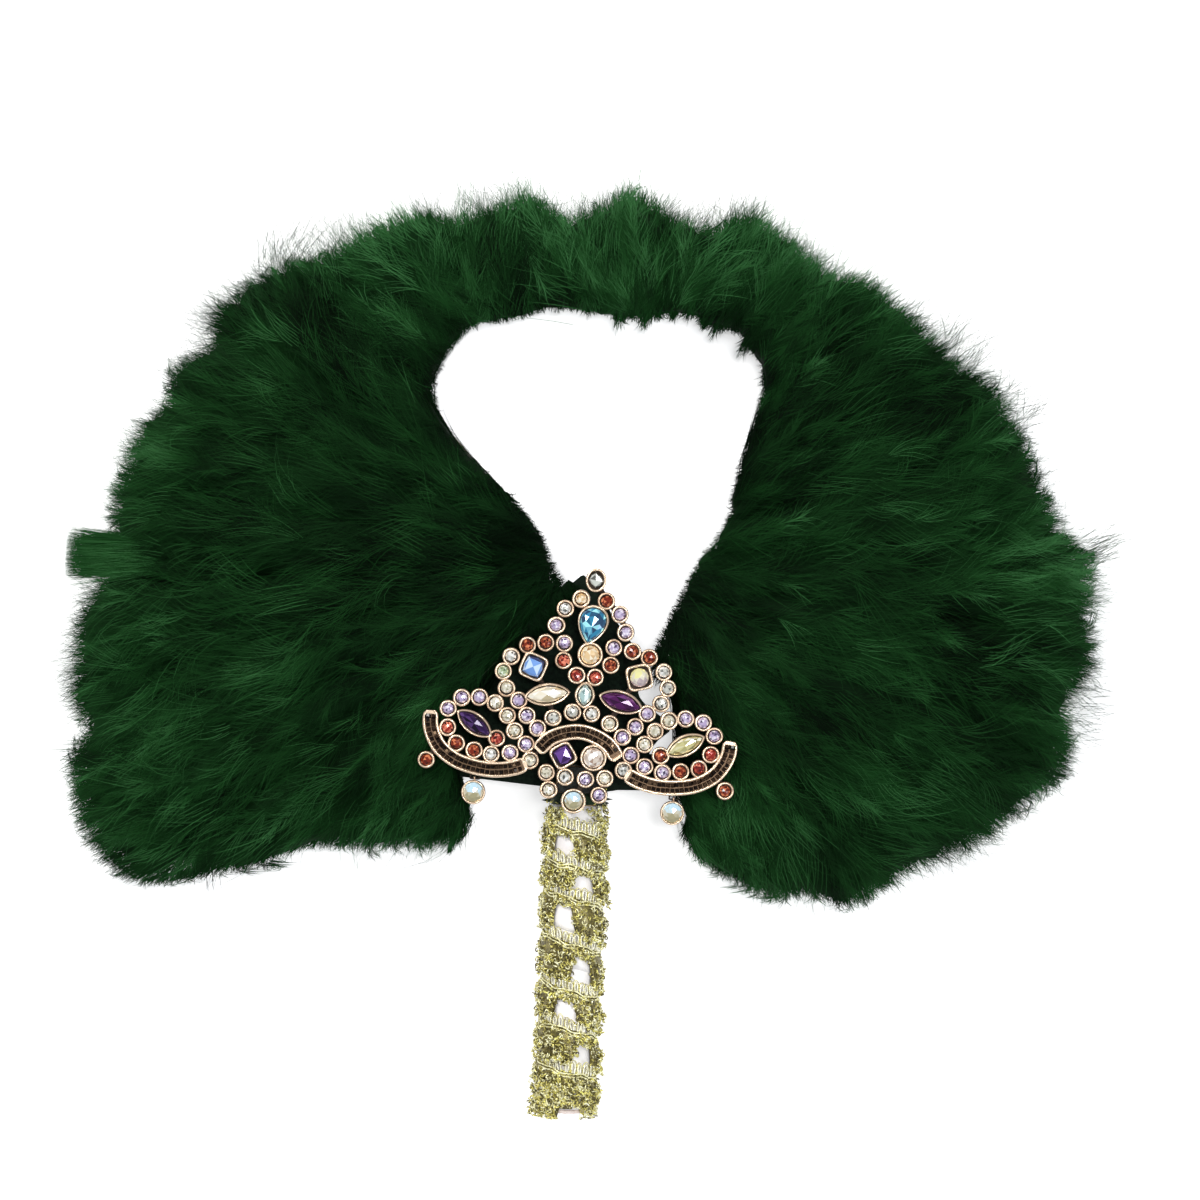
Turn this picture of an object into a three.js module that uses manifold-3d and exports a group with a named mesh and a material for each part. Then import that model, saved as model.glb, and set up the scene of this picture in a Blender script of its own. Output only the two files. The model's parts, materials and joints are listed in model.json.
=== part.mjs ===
// A marabou feather hand fan, lying on its back: a stiff horseshoe board ringed with plumes,
// a ribbon-bound handle with gimp wound round it, and a jewelled brooch over the joint.
// Millimetres. The origin is the centre of the handle's butt face, +Y runs up the handle into
// the feathers, +X is to the right of the fan's face, and +Z points out of the face.

import * as THREE from "three";
import { mergeVertices } from "three/addons/utils/BufferGeometryUtils.js";
import Module from "manifold-3d";

const wasm = await Module();
wasm.setup();

// Clearances and cuts
const seatGap = 0.3; // between two pieces that touch
const overrun = 2; // how far a cut runs past what it cuts
const weldTolerance = 1e-4;

// Handle
const dowel = { length: 132, radius: 8.8, slotDepth: 34, sides: 24 };
const buttCap = { thickness: 1.6 };
const binding = { thickness: 1.6, width: 4.6, belowDowelTop: 10.1 };
const ribbon = { thickness: 0.7 };
const pin = { radius: 1.6, recess: 0.5, sides: 10, lowerFromTop: 25, upperFromTop: 5 };
const gimp = { width: 8.6, thickness: 2, topMargin: 10, bottomMargin: 4.7 };
const gimpTurns = { lead: 0.33, wound: 7.04, steps: 24 };

// Core board, and the felt that covers its neck
const board = { thickness: 3, edgeInset: 9, outerShare: 0.5 };
const tang = { width: 15, endGap: 0.6 };
const neck = { halfWidth: 62, belowHub: 10.5 };
const felt = { thickness: 1, hem: 1.2 };

// Plumes. Rays leave the hub, and two neighbouring rays bound one plume.
const hub = { x: 0.9, aboveDowel: 78.7 };
const reach = { hole: 100, wing: 200 };
const plume = { topHeight: 27, backDepth: 14, tipBulge: 6, fullLength: 140 };
const nest = { margin: 8, headroom: 2.6, halfHeightShare: 1.07, centreShare: 0.32, slopeShare: 0.5 };

// Brooch. In its own frame the origin is the middle of the band, and +Y runs to its crown.
const brooch = { x: -0.9, aboveDowel: 1, overGimp: 0.9, halfWidth: 60, tiltDegrees: -3.6 };
const cup = { rim: 1.15, height: 3.9, floor: 1 };
const stud = { radius: 3.4, height: 3.4, crown: 0.8, sides: 8 };
const web = { height: 1.4, width: 2.2 };
const band = { width: 5.7, channel: 3.4, height: 4.2, floor: 1.4, endLand: 3.8, steps: 12 };
const pave = { proud: 0.2 };
const gem = { crown: 1.3, girdleDrop: 0.3, tableShare: 0.6, culetShare: 0.55, sides: 12 };
const pad = { width: 16, length: 9.6, depth: 7.4 };

// Drops that swing under the band
const drop = { stoneRadius: 3.5, rim: 0.8, height: 3.4, neck: 0.8, alongShare: 0.61 };
const bail = { wireRadius: 0.3, barRadius: 0.35, legSpread: 1.35, running: 0.32, bite: 0.6 };
const bailSides = { wire: 8, ring: 10 };
const bailToBand = 1.6;

const fan = new THREE.Group();

// Helpers

const lerp = THREE.MathUtils.lerp;
const radians = THREE.MathUtils.degToRad;

function finish(color, roughness, metalness = 0) {
  return new THREE.MeshStandardMaterial({ color, roughness, metalness });
}

// A closed three.js geometry as a manifold-3d solid.
function solid(geometry) {
  const bare = (geometry.index ? geometry.toNonIndexed() : geometry.clone())
    .deleteAttribute("normal")
    .deleteAttribute("uv");
  const merged = mergeVertices(bare, weldTolerance);
  return new wasm.Manifold(
    new wasm.Mesh({
      numProp: 3,
      vertProperties: merged.attributes.position.array,
      triVerts: new Uint32Array(merged.index.array),
    }),
  );
}

// A manifold-3d solid as a three.js geometry.
function geometryOf(body) {
  const mesh = body.getMesh();
  const positions = new Float32Array(mesh.numVert * 3);
  for (let i = 0; i < mesh.numVert; i += 1)
    positions.set(mesh.vertProperties.subarray(i * mesh.numProp, i * mesh.numProp + 3), i * 3);
  return new THREE.BufferGeometry()
    .setAttribute("position", new THREE.BufferAttribute(positions, 3))
    .setIndex(new THREE.BufferAttribute(mesh.triVerts, 1));
}

const joined = (bodies) => bodies.reduce((sum, body) => sum.add(body));
const cutBy = (body, cutters) => cutters.reduce((left, cutter) => left.subtract(cutter), body);

function place(name, geometry, material, parent = fan) {
  const mesh = new THREE.Mesh(geometry, material);
  mesh.name = name;
  parent.add(mesh);
}

// A closed skin over a row of rings that hold equally many Vector3 points.
function loft(rings) {
  const count = rings[0].length;
  const points = rings.flat();
  const faces = [];
  for (let r = 0; r + 1 < rings.length; r += 1)
    for (let i = 0; i < count; i += 1) {
      const a = r * count + i;
      const b = r * count + ((i + 1) % count);
      faces.push(a, b, a + count, b, b + count, a + count);
    }
  for (const start of [0, (rings.length - 1) * count]) {
    const ring = points.slice(start, start + count);
    const middle = ring.reduce((sum, p) => sum.add(p), new THREE.Vector3()).divideScalar(count);
    const centre = points.push(middle) - 1;
    for (let i = 0; i < count; i += 1) {
      const a = start + i;
      const b = start + ((i + 1) % count);
      faces.push(...(start === 0 ? [b, a, centre] : [a, b, centre]));
    }
  }
  let volume = 0;
  for (let i = 0; i < faces.length; i += 3)
    volume += points[faces[i]].dot(points[faces[i + 1]].clone().cross(points[faces[i + 2]]));
  if (volume < 0) faces.reverse();
  return new THREE.BufferGeometry().setFromPoints(points).setIndex(faces);
}

// A round bar whose axis runs along Y from low to high.
function barY(radius, low, high, sides) {
  return new THREE.CylinderGeometry(radius, radius, high - low, sides).translate(0, (low + high) / 2, 0);
}

// A sleeve round the Y axis.
function sleeveY(inner, outer, low, high, sides) {
  const corners = [[inner, low], [outer, low], [outer, high], [inner, high], [inner, low]];
  return new THREE.LatheGeometry(corners.map(([x, y]) => new THREE.Vector2(x, y)), sides);
}

// A flat sheet with the given outline, from low to high in Z.
function sheetZ(outline, low, high) {
  const options = { depth: high - low, bevelEnabled: false };
  return new THREE.ExtrudeGeometry(new THREE.Shape(outline), options).translate(0, 0, low);
}

// The outline moved outwards all round by a distance.
function grown(outline, distance) {
  const outwards = Math.sign(THREE.ShapeUtils.area(outline)) * distance;
  return outline.map((p, i) => {
    const before = p.clone().sub(outline.at(i - 1)).normalize();
    const after = outline[(i + 1) % outline.length].clone().sub(p).normalize();
    const normal = new THREE.Vector2(before.y + after.y, -before.x - after.x);
    return p.clone().addScaledVector(normal, outwards / (1 + before.dot(after)));
  });
}

// Handle: a slotted dowel, its cap, the satin ribbon, the gimp and the tape at the top.

const bindingTop = dowel.length - binding.belowDowelTop;
const bindingLow = bindingTop - binding.width;
const ribbonTop = bindingLow - seatGap;
const sleeveInner = dowel.radius + seatGap;
const gimpInner = sleeveInner + ribbon.thickness + seatGap;
const slotBottom = dowel.length - dowel.slotDepth;

function pinGeometry(fromTop, radius, halfLength) {
  return new THREE.CylinderGeometry(radius, radius, 2 * halfLength, pin.sides)
    .rotateX(Math.PI / 2)
    .translate(0, dowel.length - fromTop, 0);
}
const pinPlaces = { lower: pin.lowerFromTop, upper: pin.upperFromTop };
const pinHoles = Object.values(pinPlaces).map((fromTop) =>
  solid(pinGeometry(fromTop, pin.radius + seatGap, dowel.radius + overrun)),
);

function dowelGeometry() {
  const round = solid(barY(dowel.radius, buttCap.thickness + seatGap, dowel.length, dowel.sides));
  const slot = new THREE.BoxGeometry(
    2 * (dowel.radius + overrun),
    dowel.slotDepth + overrun,
    board.thickness + 2 * seatGap,
  ).translate(0, (slotBottom + dowel.length + overrun) / 2, 0);
  return geometryOf(cutBy(round, [solid(slot), ...pinHoles]));
}

// The strip's section: shares of its width down the handle and of its thickness.
const gimpSectionShares = [[0.5, -0.5], [0.5, 0], [0.3, 0.5], [-0.3, 0.5], [-0.5, 0], [-0.5, -0.5]];

// The gimp is one flat strip wound down the handle. It crosses the front going down to the right.
// The crossings, a turn apart, in shares of the way from the first to the strip's end; the table
// starts a turn above the first and runs on past the end.
const crossingShares = [-0.148, 0, 0.131, 0.249, 0.418, 0.592, 0.735, 0.894, 0.996, 1.098];

function gimpRings() {
  const middle = gimpInner + gimp.thickness / 2;
  const first = ribbonTop - gimp.topMargin;
  const heights = new THREE.SplineCurve(
    crossingShares.map((share) => new THREE.Vector2(0, lerp(first, gimp.bottomMargin, share))),
  );
  const steps = Math.round((gimpTurns.lead + gimpTurns.wound) * gimpTurns.steps);
  const rings = [];
  for (let step = 0; step <= steps; step += 1) {
    const turn = step / gimpTurns.steps - gimpTurns.lead;
    const y = heights.getPoint((turn + 1) / (crossingShares.length - 1)).y;
    const angle = turn * 2 * Math.PI;
    const out = new THREE.Vector3(Math.sin(angle), 0, Math.cos(angle));
    const ring = gimpSectionShares.map(([acrossShare, outShare]) =>
      out
        .clone()
        .multiplyScalar(middle + outShare * gimp.thickness)
        .setY(y + acrossShare * gimp.width),
    );
    const onward = new THREE.Vector3(out.z, 0, -out.x).multiplyScalar(gimp.thickness);
    const carriedOn = (sign) => ring.map((p) => p.clone().addScaledVector(onward, sign));
    if (step === 0) rings.push(carriedOn(-1));
    rings.push(ring);
    if (step === steps) rings.push(carriedOn(1));
  }
  return rings;
}

// The least distance between points that lie half a turn or more apart along the strip.
function leastGap(rings) {
  let least = Infinity;
  for (let i = 0; i < rings.length; i += 1)
    for (let j = i + gimpTurns.steps / 2; j < rings.length; j += 1)
      for (const p of rings[i]) for (const q of rings[j]) least = Math.min(least, p.distanceTo(q));
  return least;
}

function addHandle() {
  const birch = finish(0xd9b98c, 0.7);
  place("handle_dowel", dowelGeometry(), birch);
  place("butt_cap", barY(dowel.radius, 0, buttCap.thickness, dowel.sides), finish(0xf3dfd2, 0.45));
  const ribbonLow = buttCap.thickness + seatGap;
  const wrap = sleeveY(sleeveInner, sleeveInner + ribbon.thickness, ribbonLow, ribbonTop, dowel.sides);
  place("ribbon_wrap", wrap, finish(0xf6efe2, 0.4));
  const rings = gimpRings();
  place("gimp_winding", loft(rings), finish(0xa39a4c, 0.5, 0.3));
  console.log(`gimp winding: least gap between turns ${leastGap(rings).toFixed(2)} mm`);
  const tape = sleeveY(sleeveInner, sleeveInner + binding.thickness, bindingLow, bindingTop, dowel.sides);
  place("neck_binding", tape, finish(0x12301a, 0.8));
  const pinLength = dowel.radius - pin.recess;
  for (const [where, fromTop] of Object.entries(pinPlaces))
    place(`tang_pin_${where}`, pinGeometry(fromTop, pin.radius, pinLength), finish(0xb8b8ba, 0.35, 1));
}

// Rays: degrees from +X, then the plumes' inner edge as a share of reach.hole and their outer
// edge as a share of reach.wing.

const rayShares = [
  [-68, 1.05, 0.6], [-57, 0.7, 0.76], [-45, 0.4, 0.85], [-32, 0.365, 0.92], [-19, 0.365, 0.98],
  [-7, 0.38, 0.97], [5, 0.425, 0.91], [18, 0.53, 0.865], [31, 0.63, 0.805], [43, 0.83, 0.77],
  [55, 1.01, 0.725], [67, 0.985, 0.725], [79, 0.94, 0.685], [91, 0.93, 0.685], [103, 0.965, 0.72],
  [115, 0.965, 0.705], [127, 0.955, 0.76], [138, 0.82, 0.81], [149, 0.26, 0.86], [161, 0.175, 0.87],
  [173, 0.155, 0.915], [185, 0.145, 0.97], [196, 0.14, 1.02], [207, 0.14, 1.08], [217, 0.14, 1.05],
  [229, 0.14, 0.755], [247.5, 0.98, 0.61],
];
const rightPlumes = 9;
const archPlumes = 8;
const hubY = dowel.length + hub.aboveDowel;

const rays = rayShares.map(([degrees, innerShare, outerShare]) => ({
  angle: radians(degrees),
  inner: innerShare * reach.hole,
  outer: outerShare * reach.wing,
}));

function between(near, far, share) {
  return {
    angle: lerp(near.angle, far.angle, share),
    inner: lerp(near.inner, far.inner, share),
    outer: lerp(near.outer, far.outer, share),
  };
}

function fromHub(angle, radius) {
  return new THREE.Vector2(hub.x + radius * Math.cos(angle), hubY + radius * Math.sin(angle));
}

// Core board: a horseshoe inside the plumes, a neck behind the brooch and a tang in the handle.

const horseshoeRays = [
  between(rays[0], rays[1], 0.5),
  ...rays.slice(1, -1),
  between(rays.at(-2), rays.at(-1), 0.5),
];
const horseshoe = [
  ...horseshoeRays.map((ray) => fromHub(ray.angle, lerp(ray.inner, ray.outer, board.outerShare))),
  ...horseshoeRays.map((ray) => fromHub(ray.angle, ray.inner + board.edgeInset)).reverse(),
];

// The neck's outline as shares of its half width and its height, from the tang round to the tang.
const neckShares = [
  [0.97, 0.02], [0.97, 0.12], [0.4, 0.17], [0.3, 0.37], [0.3, 0.55], [0.19, 0.8], [0.06, 0.98],
  [-0.1, 0.98], [-0.3, 0.78], [-0.62, 0.52], [-0.93, 0.22], [-0.93, 0.05],
];
const neckBottom = bindingTop + seatGap + felt.hem;
const neckHeight = hubY - neck.belowHub - neckBottom;
const neckOutline = [
  new THREE.Vector2(tang.width / 2, neckBottom),
  ...neckShares.map(
    ([xShare, yShare]) => new THREE.Vector2(xShare * neck.halfWidth, neckBottom + yShare * neckHeight),
  ),
  new THREE.Vector2(-tang.width / 2, neckBottom),
];

function boardSolid(grow) {
  const half = board.thickness / 2 + grow;
  return joined([
    solid(sheetZ(grown(horseshoe, grow), -half, half)),
    solid(sheetZ(grown(neckOutline, grow), -half, half)),
  ]);
}

function coreBoardGeometry() {
  const low = slotBottom + tang.endGap;
  const high = neckBottom + overrun;
  const stem = new THREE.BoxGeometry(tang.width, high - low, board.thickness);
  return geometryOf(cutBy(boardSolid(0).add(solid(stem.translate(0, (low + high) / 2, 0))), pinHoles));
}

// One felt sheet lies on each face of the neck and is cut out round the dowel.
const dowelCutter = solid(barY(sleeveInner, 0, dowel.length + seatGap, dowel.sides));

function feltSolid(grow) {
  const low = board.thickness / 2 + seatGap;
  return solid(sheetZ(grown(neckOutline, felt.hem + grow), low - grow, low + felt.thickness + grow));
}

function addBoard() {
  const front = feltSolid(0).subtract(dowelCutter);
  const green = finish(0x0d2413, 0.95);
  place("core_board", coreBoardGeometry(), finish(0x6b6455, 0.9));
  place("neck_felt_front", geometryOf(front), green);
  place("neck_felt_back", geometryOf(front.mirror([0, 0, 1])), green);
}

// Plumes: each is a wedge between two rays, swelling from its root and thinning to its tip.

const broochY = dowel.length + brooch.aboveDowel;
const broochBack = gimpInner + gimp.thickness + brooch.overGimp;

// Along the plume: shares of its length, of its top height and of its back depth.
const stationShares = [
  [0, 0.2, 0.25], [0.08, 0.5, 0.7], [0.26, 0.86, 1], [0.5, 1, 1], [0.74, 0.9, 1], [0.92, 0.55, 0.72],
  [1, 0.16, 0.3],
];
// Across the plume: shares of its width, and of its top height or, below, of its back depth.
const sectionShares = [[0.08, -1], [0.92, -1], [1, -0.2], [0.85, 0.68], [0.5, 1], [0.15, 0.68], [0, -0.2]];
const shortestHeightShare = 0.68;

// How high a plume may stand at a place, so that the brooch and its drops lie clear above it.
function nestLimit(x, y) {
  const halfWidth = brooch.halfWidth + nest.margin;
  const halfHeight = brooch.halfWidth * nest.halfHeightShare;
  const across = (x - brooch.x) / halfWidth;
  const up = (y - broochY) / halfHeight - nest.centreShare;
  const outside = Math.max(0, Math.hypot(across, up) - 1) * halfWidth;
  return broochBack - nest.headroom + nest.slopeShare * outside;
}

function plumeSolid(near, far) {
  const middle = between(near, far, 0.5);
  const lengthShare = Math.min(1, (middle.outer - middle.inner) / plume.fullLength);
  const height = plume.topHeight * lerp(shortestHeightShare, 1, lengthShare);
  const rings = stationShares.map(([alongShare, topShare, backShare]) =>
    sectionShares.map(([acrossShare, heightShare]) => {
      const ray = between(near, far, acrossShare);
      const bulge = plume.tipBulge * alongShare ** 3 * Math.sin(Math.PI * acrossShare);
      const p = fromHub(ray.angle, lerp(ray.inner, ray.outer, alongShare) + bulge);
      const inwards = (0.5 - acrossShare) * seatGap;
      p.add(new THREE.Vector2(-Math.sin(ray.angle), Math.cos(ray.angle)).multiplyScalar(inwards));
      const top = Math.min(height * topShare, nestLimit(p.x, p.y));
      const reachZ = heightShare > 0 ? top : plume.backDepth * backShare;
      return new THREE.Vector3(p.x, p.y, heightShare * reachZ);
    }),
  );
  return solid(loft(rings));
}

function plumeName(index) {
  if (index < rightPlumes) return `plume_right_${index + 1}`;
  if (index < rightPlumes + archPlumes) return `plume_arch_${index + 1 - rightPlumes}`;
  return `plume_left_${index + 1 - rightPlumes - archPlumes}`;
}

function addPlumes() {
  const down = finish(0x0f4220, 0.9);
  const feltCutter = feltSolid(seatGap);
  const cutters = [boardSolid(seatGap), feltCutter, feltCutter.mirror([0, 0, 1])];
  for (let i = 0; i + 1 < rays.length; i += 1)
    place(plumeName(i), geometryOf(cutBy(plumeSolid(rays[i], rays[i + 1]), cutters)), down);
}

// Brooch stones. A cut gives a point of the outline at turn t, with the half length along X.

const squared = (value) => Math.sign(value) * Math.abs(value) ** 0.45;
const cuts = {
  round: (t, [a, b]) => [a * Math.cos(t), b * Math.sin(t)],
  square: (t, [a, b]) => [a * squared(Math.cos(t)), b * squared(Math.sin(t))],
  marquise: (t, [a, b]) => [a * Math.cos(t), b * Math.sin(t) * Math.abs(Math.sin(t)) ** 0.5],
  pear: (t, [a, b]) => [a * Math.cos(t), b * Math.sin(t) * Math.sin(t / 2) ** 0.7],
};
const stoneSizes = {
  oval: [3.4, 2.8],
  pear: [6.6, 6],
  topaz: [3.7, 3.7],
  navette: [4, 2.7],
  square: [3.8, 3.8],
  upperMarquise: [7.6, 3.2],
  lowerMarquise: [7, 2.9],
  smallSquare: [3.4, 3.4],
  clearRound: [3.9, 3.9],
  auroraRound: [3.6, 3.6],
};

// A large stone: its centre in shares of the brooch's half width, and its turn in degrees.
function gemAt(name, color, cut, size, [xShare, yShare], degrees = 0) {
  const at = new THREE.Vector2(xShare, yShare).multiplyScalar(brooch.halfWidth);
  return { name, material: finish(color, 0.05), cut, size, at, turn: radians(degrees) };
}
const gems = [
  gemAt("stone_crown_oval", 0xe6ece6, "round", stoneSizes.oval, [0, 1.17], 90),
  gemAt("stone_pear", 0x1f9cc8, "pear", stoneSizes.pear, [0.005, 0.885], -98),
  gemAt("stone_topaz", 0xe8c274, "round", stoneSizes.topaz, [0.012, 0.7]),
  gemAt("stone_navette", 0xa9cfcf, "marquise", stoneSizes.navette, [0.005, 0.445], 90),
  gemAt("stone_square_left", 0x7eaee6, "square", stoneSizes.square, [-0.335, 0.59], -18),
  gemAt("stone_square_right", 0xe6d28c, "square", stoneSizes.square, [0.335, 0.59], 18),
  gemAt("stone_upper_marquise_left", 0xf4e8bc, "marquise", stoneSizes.upperMarquise, [-0.23, 0.424], 12),
  gemAt("stone_upper_marquise_right", 0x3c1654, "marquise", stoneSizes.upperMarquise, [0.235, 0.424], -12),
  gemAt("stone_lower_marquise_left", 0x3c1654, "marquise", stoneSizes.lowerMarquise, [-0.666, 0.195], -31),
  gemAt("stone_lower_marquise_right", 0xd5cc8a, "marquise", stoneSizes.lowerMarquise, [0.666, 0.195], 31),
  gemAt("stone_small_square", 0x3c1654, "square", stoneSizes.smallSquare, [-0.09, 0.053], 35),
  gemAt("stone_clear_round", 0xe6ece6, "round", stoneSizes.clearRound, [0.1, 0.058]),
  gemAt("stone_aurora_round", 0xd8e6e6, "round", stoneSizes.auroraRound, [0.003, -0.225]),
];

function gemRing(stone, grow, scale, z) {
  const size = stone.size.map((half) => (half + grow) * scale);
  const halfStep = stone.cut === "square" ? 0.5 : 0;
  const ring = [];
  for (let i = 0; i < gem.sides; i += 1) {
    const [x, y] = cuts[stone.cut](((i + halfStep) / gem.sides) * 2 * Math.PI, size);
    const p = new THREE.Vector2(x, y).rotateAround(new THREE.Vector2(), stone.turn).add(stone.at);
    ring.push(new THREE.Vector3(p.x, p.y, z));
  }
  return ring;
}

// A stone in a cup whose rim is at the given height above the cup's back.
function gemGeometry(stone, low, rimZ) {
  return loft([
    gemRing(stone, 0, gem.culetShare, low + cup.floor + seatGap),
    gemRing(stone, 0, 1, rimZ - gem.girdleDrop),
    gemRing(stone, 0, gem.tableShare, rimZ + gem.crown),
  ]);
}

function gemPrism(stone, grow, low, high) {
  return solid(loft([gemRing(stone, grow, 1, low), gemRing(stone, grow, 1, high)]));
}

// Small round settings of one side in shares of the brooch's half width; the other side mirrors it.

const studShares = [
  [0.08, 1.045], [0.173, 0.972], [0.221, 0.863], [0.155, 0.758], [0.274, 0.748], [0.386, 0.722],
  [0.148, 0.647], [0.06, 0.562], [0.483, 0.641], [0.52, 0.541], [0.489, 0.441], [0.547, 0.338],
  [0.467, 0.265], [0.411, 0.175], [0.407, 0.369], [0.343, 0.278], [0.269, 0.205], [0.653, 0.363],
  [0.762, 0.35], [0.842, 0.273], [0.832, 0.154], [0.766, 0.06], [0.653, 0.027], [0.519, 0.114],
  [0.543, 0.013], [0.426, 0.035], [0.332, 0.099], [0.295, 0.002], [0.943, -0.063], [0.177, 0.281],
  [0.062, 0.332], [0.185, -0.064], [0.063, -0.081], [0.159, -0.172],
];
const mirrored = (shares) => shares.map(([xShare, yShare]) => [-xShare, yShare]);
const atShares = (shares) =>
  shares.map(([xShare, yShare]) => new THREE.Vector2(xShare, yShare).multiplyScalar(brooch.halfWidth));
const studPlaces = atShares([...studShares, ...mirrored(studShares)]);

// A small setting is one turned piece, cup and stone together.
function studSolid(at) {
  const profile = [
    [0, 0],
    [stud.radius, 0],
    [stud.radius, stud.height],
    [0, stud.height + stud.crown],
  ].map(([x, y]) => new THREE.Vector2(x, y));
  const turned = new THREE.LatheGeometry(profile, stud.sides).rotateX(Math.PI / 2);
  return solid(turned.translate(at.x, at.y, 0));
}

// The band's three runs, in shares of the brooch's half width.

const outerRunShares = [
  [0.947, 0.25], [0.938, 0.15], [0.878, 0.037], [0.777, -0.037], [0.65, -0.073], [0.508, -0.08],
  [0.383, -0.053], [0.315, -0.02],
];
const archShares = [[-0.255, 0.067], [-0.185, 0.148], [-0.098, 0.193], [0, 0.212]];
const runs = {
  right: atShares(outerRunShares),
  left: atShares(mirrored(outerRunShares)),
  arch: atShares([...archShares, ...mirrored(archShares.slice(0, -1)).reverse()]),
};
const runCurve = (points) => new THREE.CatmullRomCurve3(points.map((p) => new THREE.Vector3(p.x, p.y, 0)));

// A bar along a run, from low to high in Z, that stops short of both ends of the run.
function runBar(points, width, low, high, shortBy) {
  const curve = runCurve(points);
  const endShare = shortBy / curve.getLength();
  const rings = [];
  for (let i = 0; i <= band.steps; i += 1) {
    const share = lerp(endShare, 1 - endShare, i / band.steps);
    const p = curve.getPointAt(share);
    const along = curve.getTangentAt(share);
    const aside = new THREE.Vector3(-along.y, along.x, 0).multiplyScalar(width / 2);
    const near = p.clone().sub(aside);
    const far = p.clone().add(aside);
    rings.push([far.clone().setZ(low), near.clone().setZ(low), near.setZ(high), far.setZ(high)]);
  }
  return loft(rings);
}

// Web: low bars join the settings and the runs into one piece, the closest neighbours first.

function webBars() {
  const settings = [
    ...studPlaces.map((at) => ({ at, radius: stud.radius })),
    ...gems.map(({ at, size }) => ({ at, radius: (size[0] + size[1]) / 2 + cup.rim })),
  ].map((setting, piece) => ({ ...setting, piece }));
  for (const [where, run] of Object.entries(runs))
    for (const at of run) settings.push({ at, radius: band.width / 2, piece: where });
  const pairs = settings.flatMap((from, i) =>
    settings.slice(i + 1).map((to) => {
      const length = from.at.distanceTo(to.at);
      return { from, to, length, gap: length - from.radius - to.radius };
    }),
  );
  // Gaps that are alike to within the weld keep their order, so mirrored pairs join alike.
  const rank = ({ gap }) => Math.round(gap / weldTolerance);
  pairs.sort((one, other) => rank(one) - rank(other));
  const bars = [];
  for (const { from, to, length } of pairs) {
    if (from.piece === to.piece) continue;
    const merged = to.piece;
    for (const setting of settings) if (setting.piece === merged) setting.piece = from.piece;
    const middle = from.at.clone().add(to.at).divideScalar(2);
    const bar = new THREE.BoxGeometry(length, web.width, web.height)
      .rotateZ(to.at.clone().sub(from.at).angle())
      .translate(middle.x, middle.y, web.height / 2);
    bars.push(solid(bar));
  }
  return bars;
}

// Drops: each hangs from a wire staple under the band by a ring on its cup.

const dropAxisZ = band.height / 2;
const bailRadius = bail.barRadius + bail.running + bail.wireRadius;
const sides = { left: -1, right: 1 };

// The middle of the staple's bar, which the drop turns about.
function dropAxisAt(side) {
  const at = runCurve(runs.right).getPointAt(drop.alongShare);
  return new THREE.Vector3(side * at.x, at.y - band.width / 2 - bailToBand, dropAxisZ);
}

function stapleSolid(side) {
  const axis = dropAxisAt(side);
  const halfSpan = bail.legSpread + bail.barRadius;
  const bar = new THREE.CylinderGeometry(bail.barRadius, bail.barRadius, 2 * halfSpan, bailSides.wire)
    .rotateZ(Math.PI / 2)
    .translate(axis.x, axis.y, axis.z);
  const legLength = bailToBand + bail.bite + bail.barRadius;
  const legY = axis.y - bail.barRadius + legLength / 2;
  const legs = [-halfSpan, halfSpan].map((x) =>
    new THREE.BoxGeometry(2 * bail.barRadius, legLength, 2 * bail.barRadius).translate(
      axis.x + x,
      legY,
      axis.z,
    ),
  );
  return joined([bar, ...legs].map(solid));
}

function addDrop(jewel, where, gold) {
  const axis = dropAxisAt(sides[where]);
  const radius = drop.stoneRadius + drop.rim;
  const low = axis.z - drop.height / 2;
  const high = axis.z + drop.height / 2;
  const at = new THREE.Vector2(axis.x, axis.y - drop.neck - radius);
  const stone = { cut: "round", size: [drop.stoneRadius, drop.stoneRadius], at, turn: 0 };
  const ring = new THREE.TorusGeometry(bailRadius, bail.wireRadius, bailSides.wire, bailSides.ring)
    .rotateY(Math.PI / 2)
    .translate(axis.x, axis.y, axis.z);
  const collet = gemPrism(stone, drop.rim, low, high).add(solid(ring));
  const pocket = gemPrism(stone, seatGap, low + cup.floor, high + overrun);
  place(`drop_collet_${where}`, geometryOf(collet.subtract(pocket)), gold, jewel);
  place(`drop_stone_${where}`, gemGeometry(stone, low, high), finish(0xd8e6e6, 0.05), jewel);
}

// Brooch: studs, cups and a channelled band on a web are one casting, with the rest set in it.

function broochFrameGeometry() {
  const cups = gems.map((stone) => gemPrism(stone, cup.rim, 0, cup.height));
  const pockets = gems.map((stone) => gemPrism(stone, seatGap, cup.floor, cup.height + overrun));
  const bars = Object.values(runs).map((run) => solid(runBar(run, band.width, 0, band.height, 0)));
  const channelTop = band.height + overrun;
  const channels = Object.values(runs).map((run) =>
    solid(runBar(run, band.channel, band.floor, channelTop, band.endLand)),
  );
  const staples = Object.values(sides).map(stapleSolid);
  const body = joined([...studPlaces.map(studSolid), ...cups, ...bars, ...webBars(), ...staples]);
  return geometryOf(cutBy(body, [...pockets, ...channels]));
}

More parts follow.
